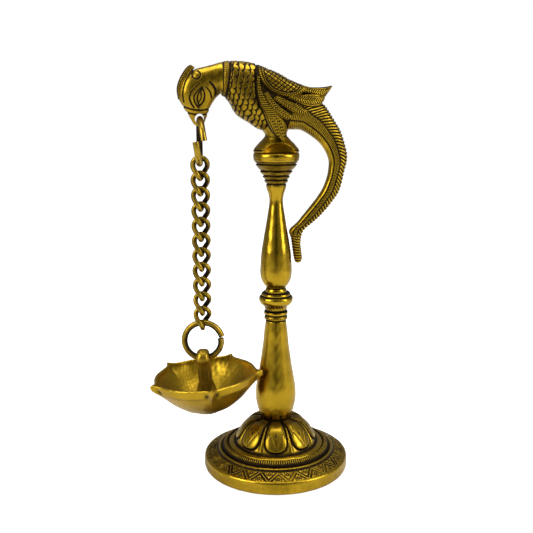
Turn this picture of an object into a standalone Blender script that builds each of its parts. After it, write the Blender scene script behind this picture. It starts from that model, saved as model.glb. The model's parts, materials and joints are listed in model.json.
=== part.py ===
"""A brass standing oil lamp (samai): a peacock on a turned pillar holds a chain with a five-lipped dish.

Frame: metres, +Z up, origin on the pillar's axis at the underside of the foot. The lamp's front is -Y.
"""

from math import asin, cos, pi, radians, sin, sqrt, tanh

import bmesh
import bpy
from mathutils import Vector

MM = 0.001

# Driving sizes, in millimetres.
FOOT_RADIUS = 36.5
FOOT_RIM_HEIGHT = 6.5
DOME_RADIUS = 20.6
DOME_HEIGHT = 25.2
LOWER_COLUMN_HEIGHT = 51.3
LOWER_COLUMN_RADIUS = 10.2
COLLAR_HEIGHT = 4.6
KNOP_HEIGHT = 11.3
KNOP_RADIUS = 8.4
UPPER_COLUMN_HEIGHT = 66.2
UPPER_COLUMN_RADIUS = 7.8
CAPITAL_RADIUS = 11.0
STUD_RADIUS = 2.2
STUD_DEPTH = 7.0  # how far a stud reaches into the piece at each of its ends
BIRD_TURN = radians(10.2)  # the bird is screwed down with its head turned a little to the front
BEAK_HOLE_RISE = 16.2  # from the capital's top to the hole in the beak
BEAK_HOLE_RADIUS = 2.3
BEAK_HALF_THICKNESS = 2.5
RING_WIRE_RADIUS = 1.5
BEAK_RING_RADIUS = 10.4
DISH_RING_RADIUS = 9.5
RING_SAW_GAP = 0.5
LINK_COUNT = 11
LINK_WIRE_RADIUS = 1.2
LINK_HALF_WIDTH = 3.55  # to the middle of the wire
LINK_HALF_LENGTH = 5.02
LINK_TWIST = radians(-45)  # each end of a curb link is turned this far out of its plane
FIRST_LINK_TURN = radians(34)  # the links turn a little more each, from the first to the last
LAST_LINK_TURN = radians(47)
DISH_SIDE_RADIUS = 25.4  # midway between two lips
DISH_LIP = 3.6  # how far a lip reaches out past the side
DISH_CLEARANCE = 1.81  # from the dish's side to the column beside it
TAIL_CLEARANCE = 1.1  # from the tail's end to the column beside it
DISH_DEPTH = 19.4
DISH_WALL = 1.4
DISH_TILT = radians(-4.9)
DISH_TURN = radians(-79)  # direction of the front lip
LUG_HOLE_RADIUS = 2.4
LUG_WALL = 2.4
LUG_HALF_WIDTH = 3.15
LUG_BOSS_RADIUS = 7.5  # of the cone that the lug stands on
LUG_RISE = 7.9  # from the dish's rim to the hole in its lug
TENON_RADIUS = 2.4

GAP = 0.3  # between pieces that touch

# Heights that follow from them.
FOOT_SEAT = DOME_HEIGHT
LOWER_COLUMN_FOOT = FOOT_SEAT + GAP
LOWER_COLUMN_TOP = LOWER_COLUMN_FOOT + LOWER_COLUMN_HEIGHT
COLLAR_FOOT = LOWER_COLUMN_TOP + GAP
COLLAR_TOP = COLLAR_FOOT + COLLAR_HEIGHT
KNOP_FOOT = COLLAR_TOP + GAP
KNOP_TOP = KNOP_FOOT + KNOP_HEIGHT
UPPER_COLUMN_FOOT = KNOP_TOP + GAP
CAPITAL_TOP = UPPER_COLUMN_FOOT + UPPER_COLUMN_HEIGHT
BIRD_FOOT = CAPITAL_TOP + GAP
BORE_RADIUS = STUD_RADIUS + GAP

# The lower column's outline from its top: share of its widest radius, and of its height.
LOWER_COLUMN_OUTLINE = [
    (0.50, 0),
    (0.56, 0.09),
    (0.63, 0.23),
    (0.72, 0.36),
    (0.82, 0.49),
    (0.93, 0.61),
    (0.99, 0.69),
    (1.0, 0.74),
    (0.985, 0.81),
    (0.92, 0.88),
    (0.81, 0.95),
    (0.66, 1.0),
]

# The chain hangs from the beak's hole. A ring's wire dips at the mouths of the hole that it runs through.
BEAK_HOLE_Z = CAPITAL_TOP + BEAK_HOLE_RISE
BEAK_DIP = BEAK_RING_RADIUS - sqrt(BEAK_RING_RADIUS**2 - BEAK_HALF_THICKNESS**2)
BEAK_RING_TOP = BEAK_HOLE_Z - BEAK_HOLE_RADIUS + GAP + BEAK_DIP + RING_WIRE_RADIUS
BEAK_RING_Z = BEAK_RING_TOP - BEAK_RING_RADIUS
RING_TO_LINK = RING_WIRE_RADIUS + LINK_WIRE_RADIUS + GAP
LINK_TO_LINK = 2 * LINK_WIRE_RADIUS + GAP
LINK_PITCH = 2 * LINK_HALF_LENGTH - LINK_TO_LINK
FIRST_LINK_Z = BEAK_RING_Z - BEAK_RING_RADIUS + RING_TO_LINK - LINK_HALF_LENGTH
LAST_LINK_Z = FIRST_LINK_Z - (LINK_COUNT - 1) * LINK_PITCH
DISH_RING_Z = LAST_LINK_Z - LINK_HALF_LENGTH + RING_TO_LINK - DISH_RING_RADIUS
LUG_DIP = DISH_RING_RADIUS - sqrt(DISH_RING_RADIUS**2 - LUG_HALF_WIDTH**2)
DISH_RING_FOOT = DISH_RING_Z - DISH_RING_RADIUS
LUG_SLOPE = LUG_HALF_WIDTH * abs(sin(DISH_TILT))
LUG_HOLE_Z = DISH_RING_FOOT + LUG_DIP + LUG_SLOPE + RING_WIRE_RADIUS + GAP - LUG_HOLE_RADIUS


def column_radius(z):
    """The pillar's radius beside the dish, at a height."""
    if z > LOWER_COLUMN_TOP:
        return KNOP_RADIUS
    drop = (LOWER_COLUMN_TOP - z) / LOWER_COLUMN_HEIGHT
    for (share, place), (next_share, next_place) in zip(LOWER_COLUMN_OUTLINE, LOWER_COLUMN_OUTLINE[1:]):
        if drop <= next_place:
            slope = (next_share - share) / (next_place - place)
            return LOWER_COLUMN_RADIUS * (share + slope * (drop - place))
    return DOME_RADIUS


# The bird reaches out as far as the dish's side band needs, from its rim down to a quarter of its depth.
DISH_RIM_Z = LUG_HOLE_Z - LUG_RISE
BESIDE_DISH = max(column_radius(DISH_RIM_Z - share * DISH_DEPTH) for share in (0, 0.125, 0.25))
BEAK_REACH = DISH_SIDE_RADIUS + DISH_CLEARANCE + BESIDE_DISH  # from the pillar's axis to the beak's hole
BEAK_X = -BEAK_REACH * cos(BIRD_TURN)
BEAK_Y = -BEAK_REACH * sin(BIRD_TURN)

TURNED_STEPS = 28
FOOT_STEPS = 40


def clear_scene():
    for obj in list(bpy.data.objects):
        bpy.data.objects.remove(obj)


def make_material(name, color, roughness):
    material = bpy.data.materials.new(name)
    material.use_nodes = True
    shader = material.node_tree.nodes["Principled BSDF"]
    shader.inputs["Base Color"].default_value = (*color, 1)
    shader.inputs["Metallic"].default_value = 1
    shader.inputs["Roughness"].default_value = roughness
    material.diffuse_color = (*color, 1)
    return material


def add_object(name, data, collection, material):
    obj = bpy.data.objects.new(name, data)
    collection.objects.link(obj)
    if material:
        data.materials.append(material)
    return obj


def mesh_object(name, bm, collection, material):
    bmesh.ops.recalc_face_normals(bm, faces=bm.faces)
    mesh = bpy.data.meshes.new(name)
    bm.to_mesh(mesh)
    bm.free()
    mesh.shade_smooth()
    mesh.set_sharp_from_angle(angle=radians(35))
    return add_object(name, mesh, collection, material)


def turn(name, profile, collection, material, steps=TURNED_STEPS, closed=False):
    """A turned piece: its profile of (radius, height) runs down the outer side."""
    mesh = bpy.data.meshes.new(name)
    edges = [(i, i + 1) for i in range(len(profile) - 1)]
    if closed:
        edges.append((len(profile) - 1, 0))
    mesh.from_pydata([(r * MM, 0, z * MM) for r, z in profile], edges, [])
    obj = add_object(name, mesh, collection, material)
    screw = obj.modifiers.new("Turn", "SCREW")
    screw.steps = steps
    screw.render_steps = steps
    screw.use_merge_vertices = True
    screw.merge_threshold = 1e-6
    screw.use_smooth_shade = True
    return obj


def bored(outline, top, foot):
    """An outline with blind stud bores, of the given depths, in its top and foot."""
    profile = list(outline)
    if top:
        z = outline[0][1]
        profile = [(0, z - top), (BORE_RADIUS, z - top), (BORE_RADIUS, z)] + profile
    else:
        profile = [(0, outline[0][1])] + profile
    z = outline[-1][1]
    if foot:
        return profile + [(BORE_RADIUS, z), (BORE_RADIUS, z + foot), (0, z + foot)]
    return profile + [(0, z)]


def sleeve(outline):
    """An outline bored right through, as a closed profile."""
    return [(BORE_RADIUS, outline[0][1])] + outline + [(BORE_RADIUS, outline[-1][1])]


def stud(name, foot, top, collection, material):
    bm = bmesh.new()
    bmesh.ops.create_cone(
        bm,
        cap_ends=True,
        segments=14,
        radius1=STUD_RADIUS * MM,
        radius2=STUD_RADIUS * MM,
        depth=(top - foot - 2 * GAP) * MM,
    )
    obj = mesh_object(name, bm, collection, material)
    obj.location = (0, 0, (top + foot) / 2 * MM)
    return obj


def wire(name, points, radius, cyclic, collection, material, sides=2):
    curve = bpy.data.curves.new(name, "CURVE")
    curve.dimensions = "3D"
    curve.bevel_depth = radius * MM
    curve.bevel_resolution = sides
    curve.use_fill_caps = True
    spline = curve.splines.new("POLY")
    spline.points.add(len(points) - 1)
    for point, place in zip(spline.points, points):
        point.co = (place[0] * MM, place[1] * MM, place[2] * MM, 1)
    spline.use_cyclic_u = cyclic
    return add_object(name, curve, collection, material)


def skin(bm, loops):
    """Quads between each loop of points and the next."""
    count = len(loops[0])
    for first, second in zip(loops, loops[1:]):
        for k in range(count):
            bm.faces.new((first[k - 1], first[k], second[k], second[k - 1]))


def loft(name, sections, collection, material, sides=14, squareness=2.0):
    """A body through sections (end a, end b, half thickness), with a and b as (x, z) in the XZ plane."""
    bm = bmesh.new()
    loops = []
    for a, b, half in sections:
        a, b = Vector((a[0], 0, a[1])), Vector((b[0], 0, b[1]))
        loop = []
        for k in range(sides):
            angle = 2 * pi * k / sides
            along = abs(cos(angle)) ** (2 / squareness) * (1 if cos(angle) > 0 else -1)
            across = abs(sin(angle)) ** (2 / squareness) * (1 if sin(angle) > 0 else -1)
            place = (a + b) / 2 + (a - b) / 2 * along + Vector((0, half, 0)) * across
            loop.append(bm.verts.new(place * MM))
        loops.append(loop)
    skin(bm, loops)
    for loop in (loops[0], loops[-1]):
        bm.faces.new(loop)
    return mesh_object(name, bm, collection, material)


def plate(name, outline, half, collection, material, rounding=0.0):
    """A flat shape: its outline of (x, z) points stands in the XZ plane, half thick on each side."""
    curve = bpy.data.curves.new(name, "CURVE")
    curve.dimensions = "2D"
    curve.fill_mode = "BOTH"
    curve.extrude = (half - rounding) * MM
    curve.bevel_depth = rounding * MM
    curve.offset = -rounding * MM
    curve.bevel_resolution = 0
    spline = curve.splines.new("POLY")
    spline.points.add(len(outline) - 1)
    for point, (x, z) in zip(spline.points, outline):
        point.co = (x * MM, z * MM, 0, 1)
    spline.use_cyclic_u = True
    obj = add_object(name, curve, collection, material)
    obj.rotation_euler = (pi / 2, 0, 0)
    return as_mesh(obj, collection, material)


def as_mesh(obj, collection, material):
    """The curve object as a closed mesh in the same place, so that it can take a Boolean."""
    bpy.context.view_layer.update()
    evaluated = obj.evaluated_get(bpy.context.evaluated_depsgraph_get())
    mesh = bpy.data.meshes.new_from_object(evaluated)
    bm = bmesh.new()
    bm.from_mesh(mesh)
    bmesh.ops.remove_doubles(bm, verts=bm.verts, dist=1e-6)
    bmesh.ops.recalc_face_normals(bm, faces=bm.faces)
    bm.to_mesh(mesh)
    bm.free()
    mesh.materials.clear()
    name, matrix = obj.name, obj.matrix_world.copy()
    bpy.data.objects.remove(obj)
    made = add_object(name, mesh, collection, material)
    made.matrix_world = matrix
    return made


def cylinder(name, radius, length, place, rotation, collection, sides=20, top_radius=None):
    bm = bmesh.new()
    bmesh.ops.create_cone(
        bm,
        cap_ends=True,
        segments=sides,
        radius1=radius * MM,
        radius2=(radius if top_radius is None else top_radius) * MM,
        depth=length * MM,
    )
    obj = mesh_object(name, bm, collection, None)
    obj.location = Vector(place) * MM
    obj.rotation_euler = rotation
    return obj


def ellipsoid(name, radii, place, collection):
    bm = bmesh.new()
    bmesh.ops.create_uvsphere(bm, u_segments=16, v_segments=8, radius=MM)
    bmesh.ops.scale(bm, vec=radii, verts=bm.verts)
    obj = mesh_object(name, bm, collection, None)
    obj.location = Vector(place) * MM
    return obj


def combine(target, tool, operation):
    """Joins the tool to the target, or cuts it away. The tool stays in the scene as a hidden cutter."""
    tool.parent = target.parent
    tool.hide_render = True
    tool.display_type = "WIRE"
    modifier = target.modifiers.new(tool.name, "BOOLEAN")
    modifier.operation = operation
    modifier.object = tool


def empty(name, place, rotation, collection):
    obj = bpy.data.objects.new(name, None)
    obj.location = Vector(place) * MM
    obj.rotation_euler = rotation
    collection.objects.link(obj)
    return obj


# --- The pillar ---


def foot_profile():
    rim = FOOT_RADIUS
    seat = DOME_HEIGHT
    ledge = FOOT_RIM_HEIGHT
    dome = DOME_RADIUS
    ledge_gap = rim - dome  # the ring ornament keeps its share of the ledge
    step = (seat - ledge) / 18.7
    return [
        (8.0, seat),
        (dome - 7.2, seat - 1.4 * step),
        (dome - 4.9, seat - 3.4 * step),
        (dome - 2.9, seat - 6.0 * step),
        (dome - 1.1, seat - 9.0 * step),
        (dome, seat - 11.5 * step),
        (dome + 0.06 * ledge_gap, seat - 12.2 * step),
        (dome + 0.23 * ledge_gap, seat - 12.9 * step),
        (dome + 0.25 * ledge_gap, seat - 12.5 * step),
        (dome + 0.33 * ledge_gap, seat - 13.0 * step),
        (dome + 0.40 * ledge_gap, seat - 14.1 * step),
        (dome + 0.43 * ledge_gap, seat - 15.1 * step),
        (dome + 0.48 * ledge_gap, seat - 15.0 * step),
        (dome + 0.55 * ledge_gap, seat - 15.2 * step),
        (dome + 0.59 * ledge_gap, seat - 16.2 * step),
        (rim - 1.2, ledge),
        (rim - 0.3, ledge - 0.7),
        (rim, ledge - 1.7),
        (rim, 1.6),
        (rim - 0.9, 0),
    ]


def lower_column_profile():
    belly, height = LOWER_COLUMN_RADIUS, LOWER_COLUMN_HEIGHT
    return [(share * belly, LOWER_COLUMN_TOP - drop * height) for share, drop in LOWER_COLUMN_OUTLINE]


def collar_profile():
    foot, top = COLLAR_FOOT, COLLAR_TOP
    edge = 0.58 * LOWER_COLUMN_RADIUS
    return [
        (edge - 0.5, top),
        (edge, top - 0.5),
        (edge, top - 1.7),
        (edge - 0.7, top - 2.3),
        (edge - 0.2, top - 2.9),
        (edge - 0.2, foot + 0.6),
        (edge - 0.7, foot),
    ]


def knop_profile():
    foot, top = KNOP_FOOT, KNOP_TOP
    belly = KNOP_RADIUS
    middle = foot + 0.5 * KNOP_HEIGHT
    rise = top - middle
    drop = middle - foot
    return [
        (belly - 3.6, top),
        (belly - 3.2, top - 0.12 * rise),
        (belly - 3.1, top - 0.40 * rise),
        (belly - 1.3, top - 0.50 * rise),
        (belly - 1.2, top - 0.68 * rise),
        (belly - 0.5, top - 0.76 * rise),
        (belly, top - 0.90 * rise),
        (belly, middle - 0.10 * drop),
        (belly - 0.9, middle - 0.38 * drop),
        (belly - 2.4, middle - 0.60 * drop),
        (belly - 2.9, middle - 0.80 * drop),
        (belly - 2.9, foot),
    ]


def upper_column_profile():
    foot, top = UPPER_COLUMN_FOOT, CAPITAL_TOP
    belly = UPPER_COLUMN_RADIUS
    plate_radius = CAPITAL_RADIUS
    neck = 0.43 * belly
    neck_z = foot + 0.67 * (top - foot)
    cone_top = top - 4.3
    cone = cone_top - neck_z
    profile = [
        (plate_radius - 0.6, top),
        (plate_radius, top - 0.8),
        (plate_radius - 0.1, top - 3.2),
        (plate_radius - 0.8, cone_top),
    ]
    # Ring grooves run round the cone under the plate.
    for drop, radius, groove in ((0.04, 0.86, 0.7), (0.28, 0.74, 0.5), (0.48, 0.60, 0.4)):
        z = cone_top - drop * cone
        profile.append((plate_radius * radius - groove, z))
        profile.append((plate_radius * radius - 0.1, z - 0.07 * cone))
    profile += [
        (0.46 * plate_radius, cone_top - 0.68 * cone),
        (neck + 0.6, cone_top - 0.86 * cone),
        (neck, neck_z),
        (0.54 * belly, foot + 0.54 * (top - foot)),
        (0.73 * belly, foot + 0.41 * (top - foot)),
        (0.92 * belly, foot + 0.27 * (top - foot)),
        (0.985 * belly, foot + 0.17 * (top - foot)),
        (belly, foot + 0.12 * (top - foot)),
        (0.95 * belly, foot + 0.07 * (top - foot)),
        (0.81 * belly, foot + 0.035 * (top - foot)),
        (0.60 * belly, foot),
    ]
    return profile


def add_pillar(collection, brass):
    turn("base", bored(foot_profile(), STUD_DEPTH, 0), collection, brass, FOOT_STEPS)
    turn("lower_column", bored(lower_column_profile(), STUD_DEPTH, STUD_DEPTH), collection, brass)
    turn("column_collar", sleeve(collar_profile()), collection, brass, closed=True)
    turn("middle_knop", sleeve(knop_profile()), collection, brass, closed=True)
    turn("upper_column", bored(upper_column_profile(), STUD_DEPTH, STUD_DEPTH), collection, brass)
    for name, foot, top in (
        ("base_stud", FOOT_SEAT, LOWER_COLUMN_FOOT),
        ("centre_stud", LOWER_COLUMN_TOP, UPPER_COLUMN_FOOT),
        ("bird_stud", CAPITAL_TOP, BIRD_FOOT),
    ):
        stud(name, foot - STUD_DEPTH, top + STUD_DEPTH, collection, brass)


# --- The peacock, in its own upright plane: x from the pillar's axis towards the tail, z up from its foot ---


def beside_column(z):
    """The upper column's greatest radius from its neck down to a height over the bird's foot."""
    rows = upper_column_profile()
    neck = rows.index(min(rows))
    reach = rows[neck][0]
    for (high_radius, high), (low_radius, low) in zip(rows[neck:], rows[neck + 1 :]):
        if high > BIRD_FOOT + z:
            share = min((high - BIRD_FOOT - z) / (high - low), 1)
            reach = max(reach, high_radius + share * (low_radius - high_radius))
    return reach


def tail_end(z_outer, z_inner, width, clearance, half_thickness):
    """A section of the tail's end, which stands close beside the upper column."""
    inner = beside_column(z_inner) + clearance
    return ((inner + width, z_outer), (inner, z_inner), half_thickness)


def peacock_sections():
    """The body from beak tip over the back to tail tip: (outer end, inner end, half thickness)."""
    hole_x, hole_z = -BEAK_REACH, BEAK_HOLE_RISE - GAP
    beak = BEAK_HALF_THICKNESS
    return [
        ((hole_x - 1.5, hole_z - 3.3), (hole_x + 1.1, hole_z - 3.3), beak - 1.0),
        ((hole_x - 2.9, hole_z - 2.1), (hole_x + 2.3, hole_z - 2.1), beak - 0.4),
        ((hole_x - 5.0, hole_z + 1.7), (hole_x + 3.8, hole_z + 1.7), beak + 0.3),
        ((hole_x - 7.5, hole_z + 5.5), (hole_x + 5.3, hole_z + 5.5), beak + 1.5),
        ((hole_x - 9.6, hole_z + 9.4), (hole_x + 7.5, hole_z + 9.0), beak + 2.6),
        ((hole_x - 10.0, hole_z + 13.2), (hole_x + 9.0, hole_z + 10.5), beak + 3.1),
        ((hole_x - 8.0, hole_z + 17.6), (hole_x + 9.6, hole_z + 11.0), beak + 3.3),
        ((hole_x - 3.0, hole_z + 21.9), (hole_x + 9.9, hole_z + 11.2), beak + 3.4),
        ((-33.0, 39.6), (hole_x + 10.2, hole_z + 11.2), 6.0),
        ((-25.5, 41.6), (-26.0, 26.7), 6.7),
        ((-20.0, 42.1), (-22.6, 23.3), 7.9),
        ((-13.2, 41.5), (-19.1, 17.6), 9.0),
        ((-6.8, 39.7), (-13.5, 13.9), 9.6),
        ((0.2, 36.3), (-7.3, 10.4), 9.4),
        ((8.9, 32.0), (4.2, 10.4), 8.4),
        ((14.9, 28.6), (10.5, 10.4), 7.0),
        ((20.2, 24.0), (13.2, 9.5), 5.6),
        ((23.8, 21.4), (16.8, 7.3), 4.6),
        ((27.8, 15.5), (20.8, 4.2), 3.9),
        ((31.4, 9.7), (23.8, 0.4), 3.6),
        ((34.0, 2.2), (25.8, -4.3), 3.5),
        ((35.0, -3.4), (25.9, -8.2), 3.5),
        ((33.4, -11.2), (25.0, -13.1), 3.4),
        ((31.4, -19.1), (22.6, -18.9), 3.3),
        ((27.5, -25.0), (18.6, -24.6), 3.2),
        ((22.6, -30.8), (13.8, -30.4), 3.1),
        ((18.2, -34.7), (10.4, -34.4), 3.0),
        tail_end(-38.5, -38.3, 7.2, TAIL_CLEARANCE, 3.0),
        tail_end(-43.6, -42.8, 4.7, TAIL_CLEARANCE + 0.1, 2.9),
        tail_end(-48.6, -48.4, 4.3, TAIL_CLEARANCE, 2.9),
        tail_end(-52.4, -52.4, 4.1, TAIL_CLEARANCE + 0.2, 2.5),
        tail_end(-54.5, -54.5, 2.2, TAIL_CLEARANCE + 1.0, 1.6),
    ]


def wing_sections():
    """Both folded wings, as one body across the back."""
    return [
        ((-9.3, 39.0), (-9.4, 25.3), 9.2),
        ((-5.0, 38.2), (-4.2, 15.4), 10.2),
        ((1.6, 35.2), (2.8, 13.0), 10.2),
        ((9.3, 32.0), (7.7, 15.0), 9.2),
        ((14.8, 29.8), (14.4, 18.3), 7.8),
        ((20.1, 29.4), (20.2, 20.6), 6.4),
        ((24.4, 30.1), (23.4, 23.6), 5.0),
        ((26.9, 30.6), (25.8, 27.0), 3.6),
    ]


def pedestal_sections():
    """The bird's legs and the round foot under them, from the belly down."""
    edge = CAPITAL_RADIUS
    return [
        ((-8.0, 15.6), (6.6, 15.6), 7.6),
        ((-7.2, 11.0), (5.7, 11.0), 6.6),
        ((-5.5, 8.3), (4.9, 8.3), 6.0),
        ((-6.2, 6.4), (6.1, 6.4), 6.6),
        ((0.4 - 0.80 * edge, 4.1), (0.80 * edge - 0.4, 4.1), 0.78 * edge),
        ((-0.95 * edge, 1.7), (0.95 * edge, 1.7), 0.93 * edge),
        ((-edge, 0.7), (edge, 0.7), edge),
        ((-edge, 0.0), (edge, 0.0), edge),
    ]


# The crest, from the hole in the beak.
CREST_OUTLINE = [
    (-10.4, 11.3),
    (-10.1, 15.8),
    (-7.8, 20.5),
    (-4.6, 24.0),
    (-2.6, 24.0),
    (-1.8, 21.7),
    (-4.9, 19.1),
    (-6.9, 15.1),
    (-8.0, 11.3),
]


def add_peacock(collection, tools, brass):
    turned = empty("bird_axis", (0, 0, BIRD_FOOT), (0, 0, BIRD_TURN), collection)
    body = loft("peacock", peacock_sections(), collection, brass, sides=16, squareness=2.2)
    body.parent = turned
    wings = loft("wings_shape", wing_sections(), tools, None, sides=12, squareness=2.6)
    legs = loft("legs_shape", pedestal_sections(), tools, None, sides=20)
    hole_place = (-BEAK_REACH, 0, BEAK_HOLE_RISE - GAP)
    outline = [(hole_place[0] + x, hole_place[2] + z) for x, z in CREST_OUTLINE]
    crest = plate("crest_shape", outline, 1.6, tools, None)
    for piece in (wings, legs, crest):
        combine(body, piece, "UNION")
    # The legs' round foot is scooped out in front and behind.
    for side in (-1, 1):
        place = (0, side * CAPITAL_RADIUS, 0)
        scoop = ellipsoid(f"scoop_shape_{side + 1}", (0.74 * CAPITAL_RADIUS, 4.6, 4.6), place, tools)
        combine(body, scoop, "DIFFERENCE")
    hole = cylinder("beak_hole_shape", BEAK_HOLE_RADIUS, 16, hole_place, (pi / 2, 0, 0), tools)
    combine(body, hole, "DIFFERENCE")
    bore_place = (0, 0, (STUD_DEPTH - 2) / 2)
    bore = cylinder("stud_bore_shape", BORE_RADIUS, STUD_DEPTH + 2, bore_place, (0, 0, 0), tools)
    combine(body, bore, "DIFFERENCE")


# --- The chain ---


def split_ring(radius, saw_angle, offset):
    """Points round an open ring in the XZ plane, sawn through at an angle, its ends sprung apart along Y."""
    half_gap = (RING_SAW_GAP / 2) / radius
    points = []
    count = 24
    for k in range(count + 1):
        t = k / count
        angle = saw_angle + half_gap + t * (2 * pi - 2 * half_gap)
        side = offset * (1 - 2 * t) ** 3
        points.append((radius * cos(angle), side, radius * sin(angle)))
    return points


def curb_link():
    """Points round one curb link: a long oval with round ends, which are twisted opposite ways about Z."""
    points = []
    count = 16
    straight = LINK_HALF_LENGTH - LINK_HALF_WIDTH
    for k in range(count):
        t = 2 * pi * k / count
        x = LINK_HALF_WIDTH * cos(t)
        z = LINK_HALF_WIDTH * sin(t) + straight * tanh(3 * sin(t)) / tanh(3)
        twist = LINK_TWIST * sin(pi / 2 * z / LINK_HALF_LENGTH)
        points.append((x * cos(twist), x * sin(twist), z))
    return points


def add_chain(collection, bronze):
    place = (BEAK_X, BEAK_Y, BEAK_RING_Z)
    points = split_ring(BEAK_RING_RADIUS, radians(4), 1.9)
    ring = wire("beak_ring", points, RING_WIRE_RADIUS, False, collection, bronze)
    ring.location = Vector(place) * MM
    ring.rotation_euler = (0, 0, -pi / 2 + BIRD_TURN / 2)
    shape = None
    for i in range(LINK_COUNT):
        name = f"chain_link_{i + 1:02d}"
        if shape is None:
            link = wire(name, curb_link(), LINK_WIRE_RADIUS, True, collection, bronze)
            shape = link.data
        else:
            link = bpy.data.objects.new(name, shape)
            collection.objects.link(link)
        link.location = Vector((BEAK_X, BEAK_Y, FIRST_LINK_Z - i * LINK_PITCH)) * MM
        share = i / (LINK_COUNT - 1)
        link.rotation_euler = (0, 0, FIRST_LINK_TURN + share * (LAST_LINK_TURN - FIRST_LINK_TURN))
    points = split_ring(DISH_RING_RADIUS, radians(10), 0.0)
    ring = wire("dish_ring", points, RING_WIRE_RADIUS, False, collection, bronze)
    ring.location = Vector((BEAK_X, BEAK_Y, DISH_RING_Z)) * MM


# --- The dish, about the hole in its lug ---


def lip_share(angle):
    """1 at a lip, 0 midway between two lips: round sides that are drawn out to the lips."""
    step = 2 * pi / 5
    off = abs((angle + step / 2) % step - step / 2)
    straight = cos(step / 2) / cos(step / 2 - off)
    return ((straight - cos(step / 2)) / (1 - cos(step / 2))) ** 1.7


def dish_rings():
    """Rings of the dish wall, up the outer side, then down the inner side: (radius, height, lip share)."""
    side, depth, wall = DISH_SIDE_RADIUS, DISH_DEPTH, DISH_WALL
    outer = [
        (0.24 * side, -depth, 0),
        (0.28 * side, 0.6 - depth, 0),
        (0.46 * side, -0.86 * depth, 0),
        (0.66 * side, -0.68 * depth, 0.08),
        (0.84 * side, -0.45 * depth, 0.30),
        (0.95 * side, -0.24 * depth, 0.65),
        (side - 0.2, -0.10 * depth, 1),
        (side, 0, 1),
    ]
    inner = [
        (side - wall, 0, 1),
        (side - wall - 0.3, -0.10 * depth, 1),
        (0.93 * side - wall, -0.24 * depth, 0.60),
        (0.80 * side - wall, -0.45 * depth, 0.27),
        (0.62 * side - wall, 1.5 - 0.72 * depth, 0.06),
        (0.40 * side - wall, 1.9 - 0.92 * depth, 0),
        (TENON_RADIUS + GAP, 1.9 - 0.92 * depth, 0),
    ]
    return outer + inner


def dish_floor():
    """Height of the dish's inner floor over its rim plane."""
    return dish_rings()[-1][1]


def add_dish(collection, tools, brass, bronze):
    place = (BEAK_X, BEAK_Y, LUG_HOLE_Z)
    hung = empty("lug_hole", place, (0, DISH_TILT, 0), collection)
    rings = [(TENON_RADIUS + GAP, -DISH_DEPTH, 0)] + dish_rings()
    count = 40
    bm = bmesh.new()
    loops = []
    for radius, height, share in rings:
        loop = []
        for k in range(count):
            angle = 2 * pi * k / count
            lip = share * lip_share(angle)
            reach = radius + DISH_LIP * lip
            angle += DISH_TURN
            place = Vector((reach * cos(angle), reach * sin(angle), height + 0.7 * lip))
            loop.append(bm.verts.new(place * MM))
        loops.append(loop)
    skin(bm, loops + loops[:1])
    dish = mesh_object("dish", bm, collection, brass)
    dish.parent = hung
    dish.location = (0, 0, -LUG_RISE * MM)
    add_lug(collection, tools, bronze, hung)


def add_lug(collection, tools, bronze, hung):
    eye = LUG_HOLE_RADIUS + LUG_WALL
    floor = dish_floor() - LUG_RISE + GAP
    start = asin((eye - 0.5) / eye) - pi / 2  # the sides leave the eye's round here
    sweep = pi - 2 * start
    steps = 11
    outline = [(eye + 0.2, floor)]
    for k in range(steps):
        angle = start + sweep * k / (steps - 1)
        outline.append((eye * cos(angle), eye * sin(angle)))
    outline.append((-eye - 0.2, floor))
    lug = plate("dish_lug", outline, LUG_HALF_WIDTH, collection, bronze, rounding=0.5)
    lug.parent = hung
    lug.rotation_euler = (pi / 2, 0, pi / 2)
    height = -LUG_RISE - 2.5 - floor
    place = (0, 0, floor + height / 2)
    boss = cylinder("boss_shape", LUG_BOSS_RADIUS, height, place, (0, 0, 0), tools, 24, LUG_HALF_WIDTH)
    combine(lug, boss, "UNION")
    hole = cylinder("lug_hole_shape", LUG_HOLE_RADIUS, 12, (0, 0, 0), (0, pi / 2, 0), tools)
    combine(lug, hole, "DIFFERENCE")
    foot = GAP - DISH_DEPTH - LUG_RISE
    top = floor + 2
    tenon = cylinder("tenon_shape", TENON_RADIUS, top - foot, (0, 0, (top + foot) / 2), (0, 0, 0), tools, 14)
    combine(lug, tenon, "UNION")


def main():
    clear_scene()
    collection = bpy.data.collections.new("samai_lamp")
    tools = bpy.data.collections.new("cutters")
    for group in (collection, tools):
        bpy.context.scene.collection.children.link(group)
    brass = make_material("polished_brass", (0.45, 0.32, 0.07), 0.3)
    bronze = make_material("dull_brass", (0.27, 0.20, 0.07), 0.4)
    add_pillar(collection, brass)
    add_peacock(collection, tools, brass)
    add_chain(collection, bronze)
    add_dish(collection, tools, brass, bronze)
    bpy.context.view_layer.update()


main()
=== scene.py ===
"""The looks of a brass standing oil lamp: peacock, pillar, chased foot, curb chain and five-lipped dish.

Sizes inside the functions are in millimetres, in the lamp's own frame: +Z up, -Y the front.
"""

import json
from math import asin, atan2, ceil, cos, dist, hypot, pi, radians, sin, tanh

import bmesh
import bpy
import numpy as np
from bpy.props import FloatProperty, FloatVectorProperty, IntProperty, PointerProperty
from mathutils import Matrix, Vector


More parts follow.
